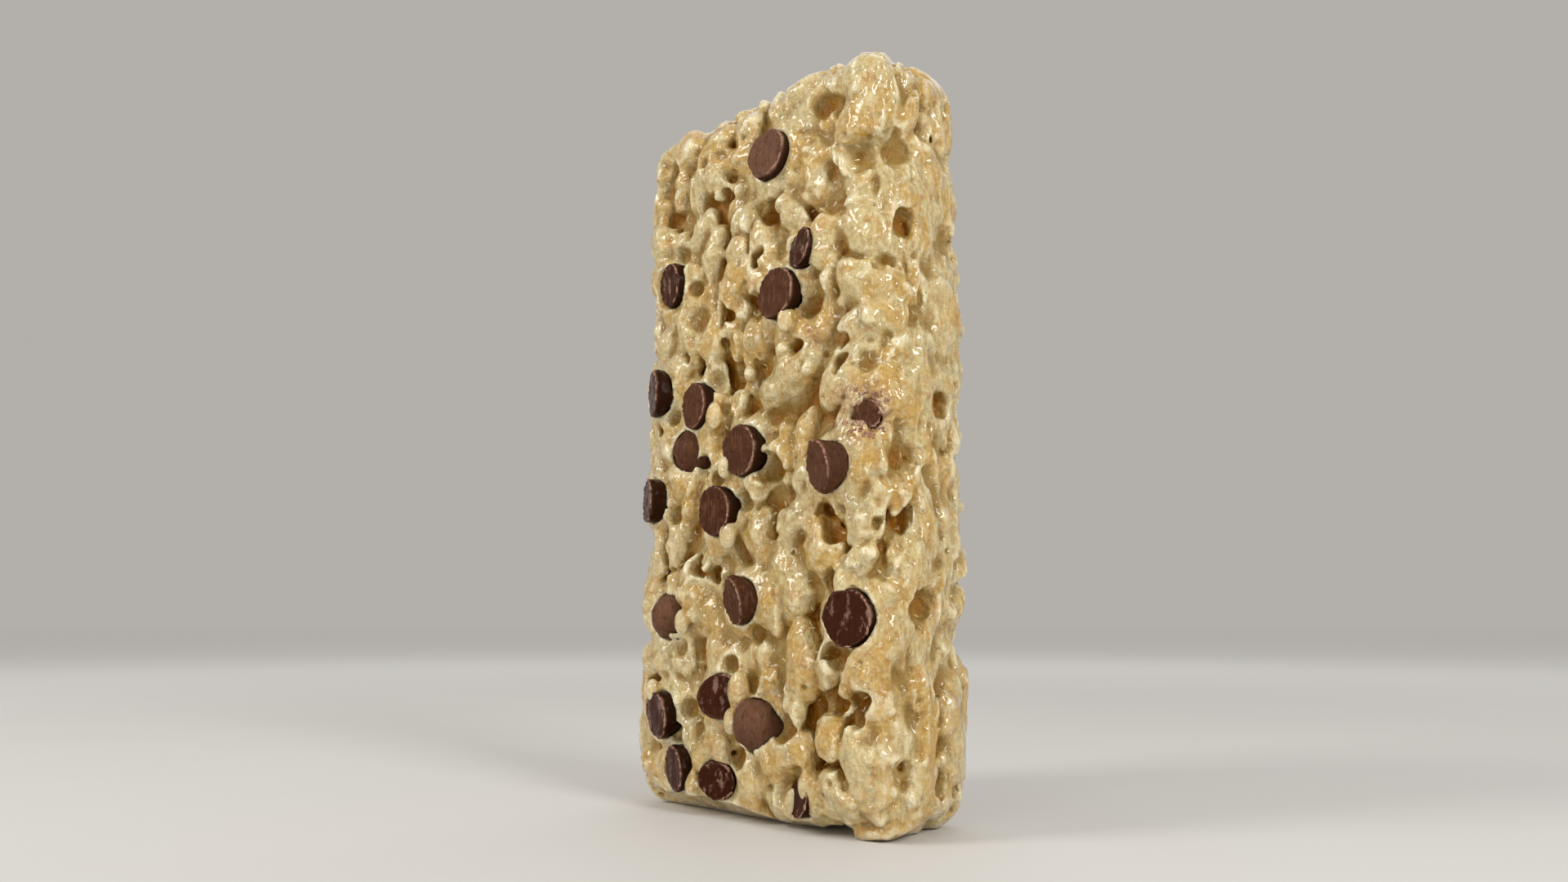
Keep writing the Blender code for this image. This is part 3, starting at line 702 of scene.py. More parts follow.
def cut_blister(field, draw, face, across, height, radius, depth):
    """A small blister is a crevice, a large one is a soft round dip."""
    place, outward = on_face(face, across, height)
    if radius < SMALL_BLISTER:
        cut_crevice(field, place, outward, radius, depth, draw)
    else:
        blend_ball(without, field, place + outward * (radius - depth), radius, 0.9)


def cut_crevice(field, place, outward, width, depth, draw):
    """A deep hole with three corners, open at the place."""
    turn = lying(outward, math.radians(draw.gauss(0, 60)))
    box, away = box_round(place, max(width * 1.8, depth) + 1)
    u, v, w = (dot(row, away) for row in turn)
    hollow = ball_distance(u, v + 0.5 * np.abs(u), w, width * 1.5, width * 0.9, depth)
    field[box] = without(field[box], hollow, 0.3)


def cut_pores(field, count, sizes, draw):
    """Small round holes in the skins of the grains."""
    for _ in range(count):
        place, outward = random_place(draw)
        depth = surface_from(field, place, outward)
        if depth <= PORE_LEVEL:
            radius = draw.uniform(*sizes)
            centre = place - outward * (depth - radius * draw.uniform(-0.1, 0.4))
            blend_ball(without, field, centre, radius, 0.18)


def cut_crevices(field, draw):
    """Crevices scattered between the grains, where the surface already lies low."""
    for _ in range(CREVICES):
        place, outward = random_place(draw)
        width = draw.uniform(*CREVICE_WIDTH)
        depth = surface_from(field, place, outward)
        if CREVICE_LEVEL[0] < depth < CREVICE_LEVEL[1]:
            centre = place - outward * (depth + width * 0.3)
            cut_crevice(field, centre, outward, width, width * 2.2, draw)


def add_strand(field, start, end, sag, thin, thick):
    """A thread of marshmallow from one grain to the next, thick at both ends."""
    along = end - start
    box, _ = box_round((start + end) / 2, along.length / 2 + 2)
    away = minus(in_box(box), start)
    share = np.clip(dot(away, along) / along.length_squared, 0, 1)
    dip = 4 * share * (1 - share)
    away = [part - along[axis] * share - sag[axis] * dip for axis, part in enumerate(away)]
    radius = thick + (thin - thick) * dip**0.5
    field[box] = union(field[box], length_of(away) - radius, 0.6)


def add_strands(field, grains, draw):
    picked = [grain for grain in grains if draw.random() < STRAND_SHARE]
    for first in picked:
        near = sorted(grains, key=lambda grain: (grain.centre - first.centre).length)[1:6]
        pair = (first, draw.choice(near))
        outs = [Vector(grain.turn[2]) for grain in pair]
        ends = [grain.centre + out * grain.half_width * 0.62 for grain, out in zip(pair, outs)]
        if STRAND_LENGTH[0] < (ends[1] - ends[0]).length < STRAND_LENGTH[1]:
            sag = -(outs[0] + outs[1]) / 2 * draw.uniform(*STRAND_SAG)
            thin, thick = draw.uniform(*STRAND_THIN), draw.uniform(*STRAND_THICK)
            add_strand(field, *ends, sag, thin, thick)


def held_in(field, sculpture):
    """Cuts off what would stand too proud of the block."""
    top = ramp(SPREAD[2] - BLOCK_MIDDLE.z, *(HALF.z - inset for inset in NEAR_END))
    proud = between((MOST_PROUD, SIDE_MOST_PROUD), np.maximum(sculpture.side, top))
    return without(field, -(sculpture.block - proud), 0.8)


def planed_foot(field, draw):
    """Cuts the foot flat at the floor, with its rim lifted here and there."""
    away = [np.abs(part) for part in minus(SPREAD[:2], BLOCK_MIDDLE)]
    rim = np.maximum(*(part + BOTTOM_RIM for part in minus(away, HALF)))
    lift = BOTTOM_LIFT * (0.65 + 0.5 * noise(draw, BOTTOM_WAVES))
    for place, reach, rise in BOTTOM_RISES:
        from_place = minus(SPREAD, place)
        lift += rise * np.exp(-dot(from_place, from_place) / reach**2)
    lift *= ramp(rim, 0.0, BOTTOM_RIM)
    return np.maximum(field, np.maximum(lift, 0) - SPREAD[2]).astype(np.float32)


def sculpt_bar(chips):
    """The sculpture, which the colours are read from, and the bar's finished field."""
    loose = random.Random(SHAPE_SEED)
    front = list(front_grains())
    filler = list(filler_grains(front, random.Random(GRAIN_SEED)))
    sculpture = Sculpture(np.random.default_rng(SHAPE_SEED))
    for _ in range(UNDER_GRAINS):
        sculpture.add_grain(random_grain(loose, UNDER_DEPTH))
    for _ in range(SMALL_GRAINS):
        sculpture.add_grain(random_grain(loose, SMALL_DEPTH, SMALL_SIZE))
    for grain in filler:
        sculpture.add_grain(grain)
    first_front = sculpture.count
    for grain, listed in zip(front, FRONT_GRAINS):
        if listed.smooth:
            sculpture.add_grain(grain, SMOOTH_LOBES, SMOOTH_ROUGHNESS)
        else:
            sculpture.add_grain(grain, FRONT_LOBES)
    field = sculpture.field
    for face, blisters in BLISTERS.items():
        for blister in blisters:
            cut_blister(field, loose, face, *blister)
    sculpture.roughen(first_front)
    for chip in chips:
        add_collar(field, chip, loose)
    add_strands(field, front + filler, loose)
    field = held_in(field, sculpture)
    for count, sizes in PORES:
        cut_pores(field, count, sizes, loose)
    cut_crevices(field, loose)
    for centre, radius in FILLS:
        blend_ball(union, field, centre, radius, FILL_BLEND)
    for hollow in CHIP_HOLLOWS:
        cut_hollow(field, chips, *hollow)
    for chip in chips:
        cut_bed(field, chip)
    for lap in LAPS:
        add_lap(field, chips, *lap)
    return sculpture, planed_foot(field, sculpture.draw)


# ---------------------------------------------------------------- meshes

# How far round a place its surroundings are averaged, for what the rice's material reads there:
# the painted shade in its creases and hollows and the painted highlight on its ridges.
CAVITY_BLUR = 1.7
CREASE_BLUR = 0.6
RIDGE_BLUR = 0.4


def new_mesh(name, points, faces):
    """A smooth-shaded object from arrays, in millimetres: points, and three corners a face."""
    mesh = bpy.data.meshes.new(name)
    mesh.vertices.add(len(points))
    mesh.vertices.foreach_set("co", (points * MM).astype(np.float32).ravel())
    mesh.loops.add(faces.size)
    mesh.loops.foreach_set("vertex_index", faces.astype(np.int32).ravel())
    mesh.polygons.add(len(faces))
    mesh.polygons.foreach_set("loop_start", np.arange(0, faces.size, 3, dtype=np.int32))
    mesh.update(calc_edges=True)
    mesh.validate()
    mesh.shade_smooth()
    obj = bpy.data.objects.new(name, mesh)
    bpy.context.scene.collection.objects.link(obj)
    return obj


def vertex_places(mesh):
    points = np.empty(len(mesh.vertices) * 3, np.float32)
    mesh.vertices.foreach_get("co", points)
    return points.reshape(-1, 3) / MM


def set_attributes(mesh, values):
    for name, value in values.items():
        attribute = mesh.attributes.new(name, "FLOAT", "POINT")
        attribute.data.foreach_set("value", value.astype(np.float32))


def largest_body(points, faces):
    """Only the faces of the largest connected body."""
    label = np.arange(len(points))
    while True:
        low = label[faces].min(1)
        before = label.copy()
        for corner in range(3):
            np.minimum.at(label, faces[:, corner], low)
        label = label[label]
        if (label == before).all():
            break
    biggest = np.bincount(label[faces[:, 0]]).argmax()
    kept = faces[label[faces[:, 0]] == biggest]
    used, index = np.unique(kept, return_inverse=True)
    return points[used], index.reshape(-1, 3)


def surface_of(field):
    grid = openvdb.FloatGrid(background=3.0)
    grid.copyFromArray(field.astype(np.float32))
    points, triangles, quads = grid.convertToPolygons(isovalue=0.0, adaptivity=0.0)
    quads = quads.astype(np.int64)
    halves = [quads[:, [0, 1, 2]], quads[:, [0, 2, 3]]]
    faces = np.concatenate([triangles.astype(np.int64).reshape(-1, 3)] + halves)
    return largest_body(points * STEP + GRID_LOW, faces[:, ::-1])


def thinned(obj, share, spared):
    """Collapses this share of the faces away, all of them clear of the spared vertices."""
    group = obj.vertex_groups.new(name="spared")
    group.add([int(index) for index in np.flatnonzero(~spared)], 1.0, "REPLACE")
    thin = obj.modifiers.new("thin", "DECIMATE")
    thin.use_collapse_triangulate = True
    thin.vertex_group = group.name
    thin.vertex_group_factor = 1000
    thin.ratio = 1 - share
    graph = bpy.context.evaluated_depsgraph_get()
    mesh = bpy.data.meshes.new_from_object(obj.evaluated_get(graph), depsgraph=graph)
    obj.modifiers.remove(thin)
    obj.vertex_groups.remove(group)
    old = obj.data
    obj.data = mesh
    bpy.data.meshes.remove(old)
    mesh.name = obj.name
    mesh.shade_smooth()


def shown_part(mesh):
    """Which vertices are on the faces that the photograph shows, the front and the right."""
    points = vertex_places(mesh)
    from_front = points[:, 1] - (BLOCK_MIDDLE.y - HALF.y)
    from_right = (BLOCK_MIDDLE.x + HALF.x) - points[:, 0]
    return (np.minimum(from_front, from_right) < SHOWN_DEPTH) & (points[:, 2] > 1.0)


def thin_in_parts(obj):
    """Leaves more triangles on the shown faces than on the others."""
    for part, wanted in ((True, SHOWN_TRIANGLES), (False, OTHER_TRIANGLES)):
        spared = shown_part(obj.data) != part
        corners = np.empty(len(obj.data.loops), np.int32)
        obj.data.loops.foreach_get("vertex_index", corners)
        count = len(corners) // 3
        inside = int((~spared[corners]).reshape(-1, 3).all(1).sum())
        thinned(obj, (inside - wanted) / count, spared)


def make_bar(chips):
    """The bar, with what its material reads at each vertex: how closed in the place is, near and
    wide (crease and cavity, for the painted shade in creases and hollows), how sharp a ridge it is
    on (for a painted highlight), the stains, its grain and the sides."""
    sculpture, field = sculpt_bar(chips)
    bar = new_mesh("puffed_rice", *surface_of(field))
    thin_in_parts(bar)
    points = vertex_places(bar.data)
    solid = ramp(-field, -STEP, STEP)
    stain = np.zeros(len(points))
    for place, reach in STAINS:
        away = np.linalg.norm(points - np.array(place), axis=1)
        stain = np.maximum(stain, 1 - ramp(away, 0.5 * reach, reach))
    tones = np.random.default_rng(TONE_SEED).random(sculpture.count + 1)
    cell = np.clip(np.round((points - GRID_LOW) / STEP).astype(int), 0, np.array(SHAPE) - 1)
    set_attributes(bar.data, {
        "cavity": sampled(blurred(solid, CAVITY_BLUR), points),
        "crease": sampled(blurred(solid, CREASE_BLUR), points),
        "ridge": sampled(blurred(field, RIDGE_BLUR), points),
        "stain": stain,
        "tone": tones[sculpture.owner[tuple(cell.T)]],
        "side": sampled(np.broadcast_to(sculpture.side, SHAPE), points),
    })
    return bar, field


def ladder(rings, sides, first=0):
    """The faces between rings of vertices, from this first vertex on, with each quad cut in two."""
    faces = []
    for low in range(first, first + (rings - 1) * sides, sides):
        for step in range(sides):
            after = (step + 1) % sides
            faces.append((low + step, low + after, low + sides + after))
            faces.append((low + step, low + sides + after, low + sides + step))
    return faces


def wave_noise(draw, points, count, wave):
    """Smooth noise as a sum of sine waves in random directions, mostly from -1 to 1."""
    total = np.zeros(len(points))
    for _ in range(count):
        direction = draw.normal(size=3)
        direction *= draw.uniform(0.7, 1.4) / wave / np.linalg.norm(direction)
        total += np.sin(2 * math.pi * (points @ direction) + draw.uniform(0, 2 * math.pi))
    return total * math.sqrt(2 / count) * 0.6


# ---------------------------------------------------------------- marshmallow threads

THREAD_COUNT = 1200
THREAD_STEPS = 7
THREAD_STEP = 0.2
THREAD_SIDES = 6
THREAD_RADIUS = (0.12, 0.24)
THREAD_SUNK = 0.65
THREAD_BEND = 0.35
THREAD_WOBBLE = 0.25
THREAD_LOWEST = 2.5
THREAD_TO_CHIP = 1.5
THREAD_SEED = 91


def thread_faces():
    """The faces of one thread, with a flat end at both ends."""
    faces = ladder(THREAD_STEPS, THREAD_SIDES)
    last = (THREAD_STEPS - 1) * THREAD_SIDES
    for side in range(1, THREAD_SIDES - 1):
        faces.append((0, side + 1, side))
        faces.append((last, last + side, last + side + 1))
    return np.array(faces)


def make_threads(bar, field, chips):
    """Short wrinkles and threads of marshmallow that run over the skin of the rice."""
    draw = np.random.default_rng(THREAD_SEED)
    places = vertex_places(bar.data)
    free = places[:, 2] > THREAD_LOWEST
    for chip in chips:
        free &= np.linalg.norm(places - np.array(chip.base), axis=1) > chip.radius + THREAD_TO_CHIP
    point = places[draw.choice(np.flatnonzero(free), THREAD_COUNT)]
    heading = draw.normal(size=(THREAD_COUNT, 3)) * (1, 1, 1.4)
    bend = draw.normal(size=THREAD_COUNT) * THREAD_BEND
    path = []
    for _ in range(THREAD_STEPS):
        out = slope_at(field, point)
        point = point - out * sampled(field, point)[:, None]
        heading -= out * (heading * out).sum(1)[:, None]
        curve = bend + draw.normal(size=THREAD_COUNT) * THREAD_WOBBLE
        heading += np.cross(out, heading) * curve[:, None]
        heading /= np.linalg.norm(heading, axis=1)[:, None]
        path.append((point, out, np.cross(out, heading)))
        point = point + heading * THREAD_STEP
    radius = draw.uniform(*THREAD_RADIUS, THREAD_COUNT)
    rings = []
    turns = np.arange(THREAD_SIDES) * 2 * math.pi / THREAD_SIDES
    for step, (point, out, across) in enumerate(path):
        width = radius * max(math.sin(math.pi * (step + 0.15) / (THREAD_STEPS - 0.7)), 0.02) ** 0.6
        middle = point[:, None] - (THREAD_SUNK * radius[:, None] * out)[:, None]
        spokes = np.cos(turns)[:, None] * out[:, None] + np.sin(turns)[:, None] * across[:, None]
        rings.append(middle + width[:, None, None] * spokes)
    first = np.arange(THREAD_COUNT)[:, None, None] * THREAD_STEPS * THREAD_SIDES
    faces = (first + thread_faces()[None]).reshape(-1, 3)
    return new_mesh("marshmallow", np.stack(rings, 1).reshape(-1, 3), faces)


# ---------------------------------------------------------------- chocolate crumbs

# Flakes along the right side of the rims, and bits scattered round one chip. A side is the middle
# and the spread of an angle, in degrees up from the right.
FLAKES_PER_CHIP = 9
FLAKE_SIDE = (10, 48)
FLAKE_REACH = 0.955
FLAKE_LENGTH = (0.12, 0.45)
FLAKE_WIDTH = (0.05, 0.13)
CRUMB_CHIP = 7
CRUMB_COUNT = 70
CRUMB_REACH = (0.8, 1.9)
CRUMB_SIZE = (0.08, 0.26)
CRUMB_SEED = 57


def small_ball():
    """A ball of 80 triangles: vertices and faces."""
    shape = bmesh.new()
    bmesh.ops.create_icosphere(shape, subdivisions=2, radius=1.0)
    points = np.array([tuple(vert.co) for vert in shape.verts])
    faces = np.array([[vert.index for vert in face.verts] for face in shape.faces])
    shape.free()
    return points, faces


def flake(chip, draw):
    """A flake on the rim: its place, the way it lies, its length and its width."""
    up, right = np.array(chip.up), np.cross(chip.axis, chip.up)
    turn = math.radians(draw.normal(*FLAKE_SIDE))
    out = right * math.cos(turn) + up * math.sin(turn)
    along = up * math.cos(turn) - right * math.sin(turn)
    place = np.array(chip.base) + out * chip.radius * FLAKE_REACH - np.array(chip.axis) * 0.02
    along = along + out * draw.normal(0, 0.35)
    return place, along, draw.uniform(*FLAKE_LENGTH), draw.uniform(*FLAKE_WIDTH)


def crumb(chip, field, draw):
    """The same for a crumb on the rice near the chip, where it is moved onto the skin."""
    up, right = np.array(chip.up), np.cross(chip.axis, chip.up)
    turn = draw.choice((1.2, 4.4)) + draw.normal(0, 0.6)
    reach = chip.radius * draw.uniform(*CRUMB_REACH)
    place = np.array(chip.base) + reach * (right * math.cos(turn) + up * math.sin(turn))
    for _ in range(6):
        lifted = sampled(field, place[None])[0]
        place = place - slope_at(field, place[None])[0] * lifted
    size = draw.uniform(*CRUMB_SIZE)
    return place, draw.normal(size=3), size, size * draw.uniform(0.6, 0.9)


def make_crumbs(chips, field):
    draw = np.random.default_rng(CRUMB_SEED)
    spots = []
    for number, chip in enumerate(chips, 1):
        if chip.base_out:
            spots += [flake(chip, draw) for _ in range(FLAKES_PER_CHIP)]
            if number == CRUMB_CHIP:
                spots += [crumb(chip, field, draw) for _ in range(CRUMB_COUNT)]
    ball, ball_faces = small_ball()
    points = []
    for place, along, length, width in spots:
        along = along / np.linalg.norm(along)
        side = np.cross(along, (0.3, 0.9, 0.2))
        side /= np.linalg.norm(side)
        turn = np.stack((along * length, side * width, np.cross(along, side) * width))
        lumpy = ball * (1 + 0.35 * wave_noise(draw, ball, 6, 1.3))[:, None]
        points.append(lumpy @ turn + place)
    faces = [ball_faces + len(ball) * number for number in range(len(spots))]
    return new_mesh("chocolate_crumbs", np.concatenate(points), np.concatenate(faces))


# ---------------------------------------------------------------- chocolate chips

CHIP_SEGMENTS = 56
CHIP_SIDE_RINGS = 18
CHIP_SEED = 41
CHIP_FLAT_RINGS = (0.15, 0.3, 0.45, 0.6, 0.72, 0.82, 0.88, 0.92, 0.945)

# How uneven a chip is: the height of the swells as a share of its radius, how many waves, and how
# long they are. Then the dents of its base and the chipping of its rim.
CHIP_SWELLS = ((0.05, 5, 3.0), (0.016, 8, 1.0))
BASE_DENT = 0.07
RIM_CHIPPING = 0.09

# Which of the chips seen in front are dark and shiny, which are pale and dull, and which get
# little of the painted shade on their sides, so that these show nearly as pale as their bases.
SHINY_CHIPS = (2, 3, 5, 11, 15, 16, 17, 19, 20, 21)
PALE_CHIPS = (1, 14, 18)
PALE_SIDED_CHIPS = (10, 13, 14, 18)


def chip_faces(rings):
    """The faces of one chip, with a fan from the middle of its base and one to its tip."""
    faces = ladder(rings, CHIP_SEGMENTS, 1)
    last = 1 + (rings - 1) * CHIP_SEGMENTS
    for step in range(CHIP_SEGMENTS):
        after = (step + 1) % CHIP_SEGMENTS
        faces.append((0, 1 + after, 1 + step))
        faces.append((last + step, last + after, last + CHIP_SEGMENTS))
    return np.array(faces)


def chip_points(chip, draw):
    """The chip's vertices in its own axes, each one's share of the height and of the radius, and
    the faces."""
    levels = 0.02 + 0.975 * np.linspace(0, 1, CHIP_SIDE_RINGS) ** 1.15
    widths = np.concatenate((CHIP_FLAT_RINGS, np.interp(levels, CHIP_LEVELS, CHIP_WIDTHS)))
    levels = np.concatenate((np.zeros(len(CHIP_FLAT_RINGS)), levels))
    widths, levels = widths[:, None] * chip.radius, levels[:, None] * chip.height
    turns = np.arange(CHIP_SEGMENTS) * 2 * math.pi / CHIP_SEGMENTS
    x = (widths * np.cos(turns)).ravel()
    y = (widths * np.sin(turns)).ravel()
    z = np.repeat(levels, CHIP_SEGMENTS, axis=1).ravel()
    points = np.concatenate(([(0, 0, 0)], np.stack((x, y, z), 1), [(0, 0, chip.height)]))
    outer = points - (0, 0, chip.height * 0.4)
    outer /= np.maximum(np.linalg.norm(outer, axis=1), 0.1)[:, None]
    share = points[:, 2] / chip.height
    reach = np.linalg.norm(points[:, :2], axis=1) / chip.radius
    swell = 0
    for height, count, wave in CHIP_SWELLS:
        swell = swell + height * chip.radius * wave_noise(draw, points, count, wave)
    dent = BASE_DENT * wave_noise(draw, points, 6, 2.2) * (share < 0.01)
    points = points + outer * (swell * np.where(share > 0.01, 1, reach))[:, None] * (1, 1, 0.5)
    points[:, 2] += dent
    chipped = ramp(reach, 0.86, 0.94) * (share < 0.05)
    points += outer * (RIM_CHIPPING * chipped * wave_noise(draw, points, 9, 0.5))[:, None]
    radius = np.linalg.norm(points[:, :2], axis=1) / chip.radius
    return points, share, radius, chip_faces(len(widths))


def make_chips(chips):
    """All the chips, with what their material reads at each vertex: how near it is to the lit part
    of the rim, which gets a painted highlight, how far up the side, which gets painted shade, and
    how pale and how shiny its chip is."""
    draw = np.random.default_rng(CHIP_SEED)
    places, faces = [], []
    looks = {"rim": [], "painted_wall_shade": [], "tone": [], "shine": []}
    offset = 0
    for chip in chips:
        points, share, radius, own_faces = chip_points(chip, draw)
        turn = np.array((chip.up.cross(chip.axis), chip.up, chip.axis))
        places.append(points @ turn + np.array(chip.base))
        faces.append(own_faces + offset)
        offset += len(points)
        number = int(chip.name[-2:])
        # The rim: a pale chipped edge all round, with a painted highlight on its right part.
        edge = np.where(share < 0.015, ramp(radius, 0.905, 0.95), 1 - ramp(share, 0.0, 0.03))
        lit = ramp(-points[:, 0] / chip.radius, -0.3, 0.7)
        looks["rim"].append(edge * (0.15 + 0.85 * lit) * (1 if chip.base_out else 0.3))
        # Painted shade: the sides of each chip, where it sinks into the rice, are darkened.
        painted_wall_shade = ramp(share, 0.01, 0.08) if chip.base_out else ramp(1 - share, 0.3, 0.8)
        looks["painted_wall_shade"].append(painted_wall_shade * (0.3 if number in PALE_SIDED_CHIPS else 1.0))
        tone = 1.0 if number in PALE_CHIPS else draw.uniform(0.15, 0.55)
        looks["tone"].append(np.full(len(points), tone))
        looks["shine"].append(np.full(len(points), float(number in SHINY_CHIPS)))
    obj = new_mesh("chocolate_chips", np.concatenate(places), np.concatenate(faces))
    set_attributes(obj.data, {name: np.concatenate(values) for name, values in looks.items()})
    obj.data.set_sharp_from_angle(angle=math.radians(55))
    return obj


# ---------------------------------------------------------------- materials

class Nodes:
    """A material's nodes, with a short call for each kind that is used here."""

    def __init__(self, name):
        self.material = bpy.data.materials.new(name)
        self.material.use_nodes = True
        self.tree = self.material.node_tree
        self.shader = self.tree.nodes["Principled BSDF"]
        self.place = self.add("ShaderNodeTexCoord").outputs["Object"]

    def add(self, kind, inputs=None, **settings):
        """A new node with these settings. Inputs are values or the sockets that feed them."""
        node = self.tree.nodes.new(kind)
        for name, value in settings.items():
            setattr(node, name, value)
        for name, value in (inputs or {}).items():
            self.put(node.inputs[name], value)
        return node

    def put(self, socket, value):
        if isinstance(value, bpy.types.NodeSocket):
            self.tree.links.new(value, socket)
        else:
            socket.default_value = value

    def attribute(self, name):
        return self.add("ShaderNodeAttribute", attribute_name=name).outputs["Fac"]

    def noise(self, size, detail=3, rough=0.55, upward=1.0, **settings):
        """Noise with lumps of this size in millimetres. Below 1, upward draws them out in height."""
        scaled = self.add("ShaderNodeMapping", {"Vector": self.place, "Scale": (1, 1, upward)})
        inputs = {"Vector": scaled.outputs[0], "Scale": 1 / (size * MM), "Detail": detail}
        inputs["Roughness"] = rough
        return self.add("ShaderNodeTexNoise", inputs, **settings).outputs["Fac"]

    def ridges(self, size):
        """Sharp branching ridges this far apart, mostly from 0 to 1.5."""
        return self.noise(size, 2, 0.5, noise_type="RIDGED_MULTIFRACTAL")

    def dimples(self, size):
        """Hollows of this size that meet in sharp ridges, in a bent pattern."""
        bent = self.add("ShaderNodeTexNoise", {"Vector": self.place, "Scale": 1 / (size * 1.5 * MM)})
        shift = self.add("ShaderNodeVectorMath", operation="MULTIPLY_ADD")
        for socket, value in zip(shift.inputs, (bent.outputs["Color"], (size * MM,) * 3, self.place)):
            self.put(socket, value)
        cells = {"Vector": shift.outputs["Vector"], "Scale": 1 / (size * MM)}
        node = self.add("ShaderNodeTexVoronoi", cells, feature="F1")
        return self.math("POWER", node.outputs["Distance"], 1.6)

    def ramp(self, value, low, high, start=0.0, end=1.0):
        names = ("Value", "From Min", "From Max", "To Min", "To Max")
        inputs = dict(zip(names, (value, low, high, start, end)))
        return self.add("ShaderNodeMapRange", inputs, interpolation_type="SMOOTHSTEP").outputs["Result"]

    def math(self, operation, *values):
        node = self.add("ShaderNodeMath", operation=operation)
        for socket, value in zip(node.inputs, values):
            self.put(socket, value)
        return node.outputs["Value"]

    def times(self, *values):
        return self.math("MULTIPLY", *values)

    def mix(self, share, first, second):
        """The first colour with this share of the second over it."""
        node = self.add("ShaderNodeMix", {"Factor": share}, data_type="RGBA")
        for socket, value in ((node.inputs[6], first), (node.inputs[7], second)):
            self.put(socket, (*value, 1.0) if isinstance(value, tuple) else value)
        return node.outputs[2]

    def layered(self, colour, layers):
        """A colour with more of them laid over it, each as its share and its colour."""
        for share, over in layers:
            colour = self.mix(share, colour, over)
        return colour

    def bumps(self, *heights):
        """A normal from heights, each with its strength and its depth in millimetres."""
        normal = None
        for height, strength, depth in heights:
            inputs = {"Height": height, "Strength": strength, "Distance": depth * MM}
            if normal:
                inputs["Normal"] = normal
            normal = self.add("ShaderNodeBump", inputs).outputs["Normal"]
        return normal

    def finish(self, **inputs):
        for name, value in inputs.items():
            self.put(self.shader.inputs[name.replace("_", " ")], value)
        return self.material


def rice_material():
    n = Nodes("glazed puffed rice")
    side, cavity = n.attribute("side"), n.attribute("cavity")
    patches = n.times(n.noise(2.6, 4), 0.8)
    tone = n.math("ADD", n.times(n.attribute("tone"), 0.3), patches)
    tone = n.math("ADD", tone, n.times(side, 0.06))
    grey = n.ramp(n.noise(1.7, 5, 0.6), 0.52, 0.68)
    toasted = n.ramp(n.noise(1.5, 5, 0.65), 0.53, 0.66)
    mottle = n.noise(0.5, 3, 0.5)
    streaks = n.ramp(n.noise(0.5, upward=0.22), 0.5, 0.62)
    # Painted highlight: the ridge mask lightens the convex edges of the skin to pale cream.
    ridge = n.ramp(n.attribute("ridge"), 0.02, 0.22)
    # Painted shade: the crease mask darkens the narrow creases between grains.
    crease = n.ramp(n.attribute("crease"), 0.50, 0.66)
    specks = n.ramp(n.noise(0.55, 5, 0.7), 0.46, 0.58)
    colour = n.layered((0.66, 0.53, 0.25), (
        (n.ramp(tone, 0.42, 0.70), (0.60, 0.375, 0.085)),
        (n.times(grey, 0.6), (0.38, 0.34, 0.20)),
        (n.times(toasted, 0.6), (0.50, 0.22, 0.035)),
        (n.ramp(mottle, 0.5, 0.7, 0.0, 0.4), (0.86, 0.76, 0.50)),
        (n.ramp(mottle, 0.48, 0.32, 0.0, 0.35), (0.42, 0.26, 0.07)),
        (n.times(streaks, n.ramp(side, 0.0, 1.0, 0.2, 0.42)), (0.44, 0.235, 0.045)),
        # Painted highlight on the convex ridges.
        (n.times(ridge, 0.85), (0.97, 0.88, 0.60)),
        # Painted highlight: thin pale lines along the same ridged wrinkles that bump the coat.
        (n.ramp(n.ridges(1.1), 1.0, 1.7, 0.0, 0.45), (0.93, 0.86, 0.64)),
        (n.ramp(n.noise(0.3, upward=0.3), 0.56, 0.66, 0.0, 0.5), (0.43, 0.23, 0.045)),
        (n.ramp(n.ridges(0.6), 0.95, 1.45, 0.0, 0.5), (0.95, 0.87, 0.66)),
        # Painted shade in creases and hollows, with the deepest hollows painted the amber of light
        # glowing through the rice.
        (n.times(crease, 0.85), (0.33, 0.170, 0.014)),
        (n.times(n.ramp(cavity, 0.475, 0.58), 0.9), (0.33, 0.200, 0.045)),
        (n.times(n.ramp(cavity, 0.60, 0.72), 0.95), (0.31, 0.118, 0.002)),
        (n.times(n.attribute("stain"), n.times(specks, 0.8)), (0.36, 0.15, 0.075)),
    ))
    normal = n.bumps(
        (n.dimples(1.2), 1.0, 0.25), (n.noise(0.8, 4, 0.5), 1.0, 0.45),
        (n.noise(0.4, upward=0.3), 1.0, 0.16),
    )
    return n.finish(
        Base_Color=colour, Roughness=n.ramp(n.noise(1.1), 0.35, 0.65, 0.22, 0.42), Normal=normal,
        Subsurface_Weight=0.3, Subsurface_Radius=(1.0, 0.65, 0.25), Subsurface_Scale=0.8 * MM,
        Coat_Weight=n.ramp(cavity, 0.49, 0.64, 1.0, 0.05), Coat_Roughness=0.08, Coat_IOR=1.5,
        Coat_Normal=n.bumps((n.noise(1.9, 1, 0.5), 1.0, 0.9), (n.ridges(1.1), 1.0, 0.10)), IOR=1.46,
        Specular_IOR_Level=0.3, Sheen_Weight=0.12, Sheen_Roughness=0.25,
        Sheen_Tint=(1.0, 0.97, 0.86, 1.0),
    )


def thread_material():
    n = Nodes("set marshmallow")
    return n.finish(
        Base_Color=n.mix(n.noise(1.5), (0.60, 0.44, 0.19), (0.74, 0.62, 0.37)), Roughness=0.16,
        Normal=n.bumps((n.noise(0.4, 2), 0.4, 0.05)), Subsurface_Weight=0.3,
        Subsurface_Radius=(1.0, 0.6, 0.3), Subsurface_Scale=0.4 * MM, Coat_Weight=1.0,
        Coat_Roughness=0.04, IOR=1.46,
    )


